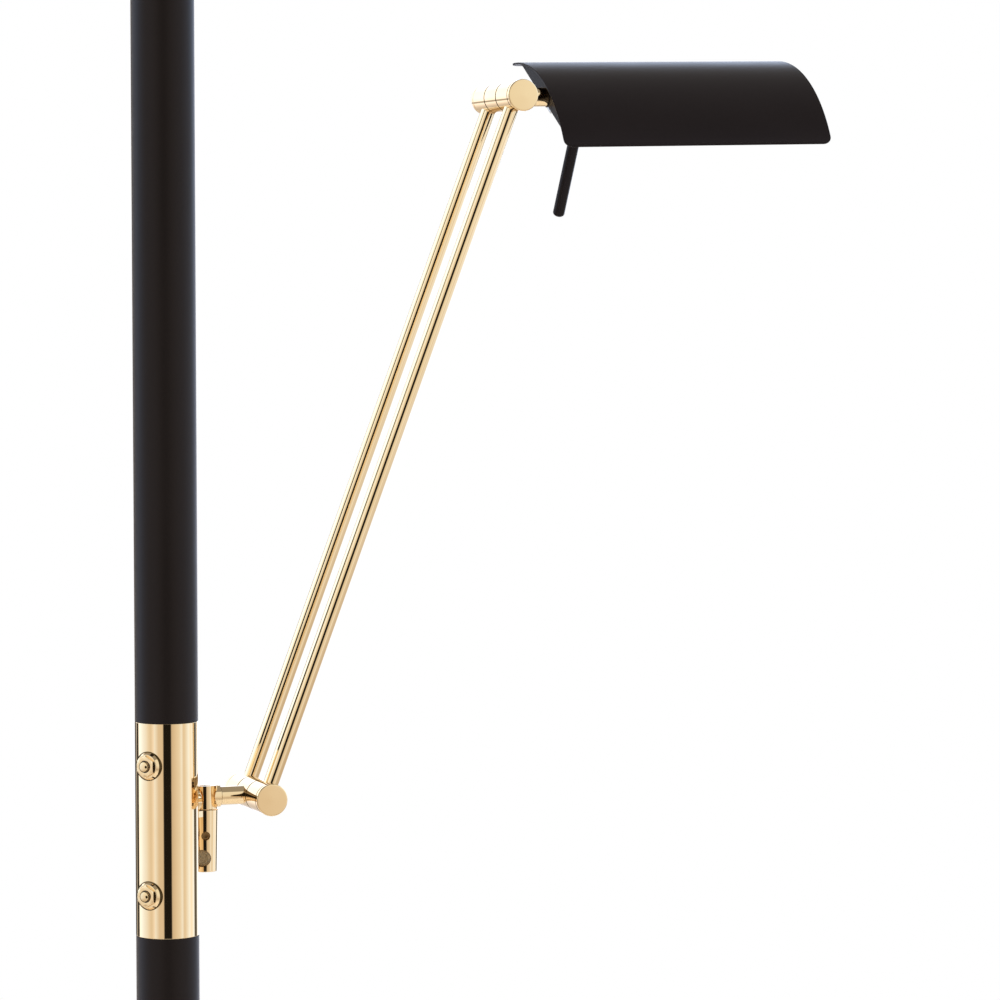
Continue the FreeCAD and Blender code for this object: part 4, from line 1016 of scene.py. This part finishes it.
def makeWorld():
    look = studioLook
    world = bpy.data.worlds.new("studio")
    scene.world = world
    world.use_nodes = True
    tree = world.node_tree
    tree.nodes.clear()
    sight = addNode(tree, "TexCoord").outputs["Generated"]
    turned = addNode(tree, "VectorRotate", {"Vector": sight, "Angle": -math.radians(look["viewerSide"])},
                     rotation_type="Z_AXIS")
    x, y, z = addNode(tree, "SeparateXYZ", {"Vector": turned.outputs["Vector"]}).outputs
    around = maths(tree, "ARCTAN2", x, maths(tree, "MULTIPLY", y, -1.0))
    horizon = brightRamp(tree, ranged(tree, around, -math.pi, math.pi),
                         [((angle + 180) / 360, value) for angle, value in look["horizon"]])
    climb = blended(tree, ranged(tree, z, *look["climb"]), (1, 1, 1, 1), (*look["climbTo"], 1))
    horizon = addNode(tree, "VectorMath", {0: horizon, 1: climb}, operation="MULTIPLY").outputs["Vector"]
    for first, last, lowest, highest, value in look["boards"]:
        across = bandMask(tree, around, math.radians(first), math.radians(last))
        share = maths(tree, "MULTIPLY", across, bandMask(tree, z, lowest, highest))
        horizon = blended(tree, share, horizon, grey(value))
    ground = brightRamp(tree, ranged(tree, z, -1.0, 0.0),
                        [(low + 1, value) for low, value in look["ground"]])
    above = maths(tree, "SUBTRACT", z, ranged(tree, y, -1.0, 1.0, *look["overheadFrom"]))
    up = ranged(tree, above, *look["overheadBlur"], interpolation_type="SMOOTHSTEP")
    down = ranged(tree, z, *look["groundFrom"], interpolation_type="SMOOTHSTEP")
    whole = blended(tree, down, blended(tree, up, horizon, grey(look["overhead"])), ground)
    seen, soft, white = [
        addNode(tree, "Background", {"Color": colour, "Strength": strength}).outputs[0]
        for colour, strength in ((whole, look["gain"]), (look["diffuseColour"], look["diffuse"]),
                                 ((1, 1, 1, 1), 1.0))]
    path = addNode(tree, "LightPath").outputs
    room = mixedShaders(tree, path["Is Glossy Ray"], soft, seen)
    straight = maths(tree, "MAXIMUM", path["Is Camera Ray"], path["Is Transmission Ray"])
    feed(tree, addNode(tree, "OutputWorld"), {"Surface": mixedShaders(tree, straight, room, white)})


def makeFloor():
    look = studioLook
    disc = bmesh.new()
    bmesh.ops.create_circle(disc, cap_ends=True, segments=96, radius=look["floorRadius"])
    floor = linked("studioFloor", meshOf("studioFloor", disc))
    tree, shader, spot = newMaterial("floorPaper", None, {"Base Color": (*look["floorColour"], 1),
                                                          "Roughness": 0.9})
    reach = addNode(tree, "VectorMath", {0: spot}, operation="LENGTH").outputs["Value"]
    fade = ranged(tree, reach, *look["floorFade"], interpolation_type="SMOOTHSTEP")
    clear = addNode(tree, "BsdfTransparent").outputs[0]
    feed(tree, tree.nodes["Material Output"],
         {"Surface": mixedShaders(tree, fade, shader.outputs[0], clear)})
    floor.data.materials.append(finishes["floorPaper"][0])


def makeLamps():
    for name, (place, aim, size, power) in studioLook["lamps"].items():
        lampData = bpy.data.lights.new(name, "AREA")
        lampData.shape = "SQUARE"
        lampData.size = size
        lampData.energy = power
        lamp = linked(name, lampData)
        lamp.location = place
        lamp.rotation_euler = (Vector(aim) - Vector(place)).to_track_quat("-Z", "Y").to_euler()
        lamp.visible_glossy = False
        lamp.visible_camera = False


makeWorld()
makeFloor()
makeLamps()
print("studio ready")
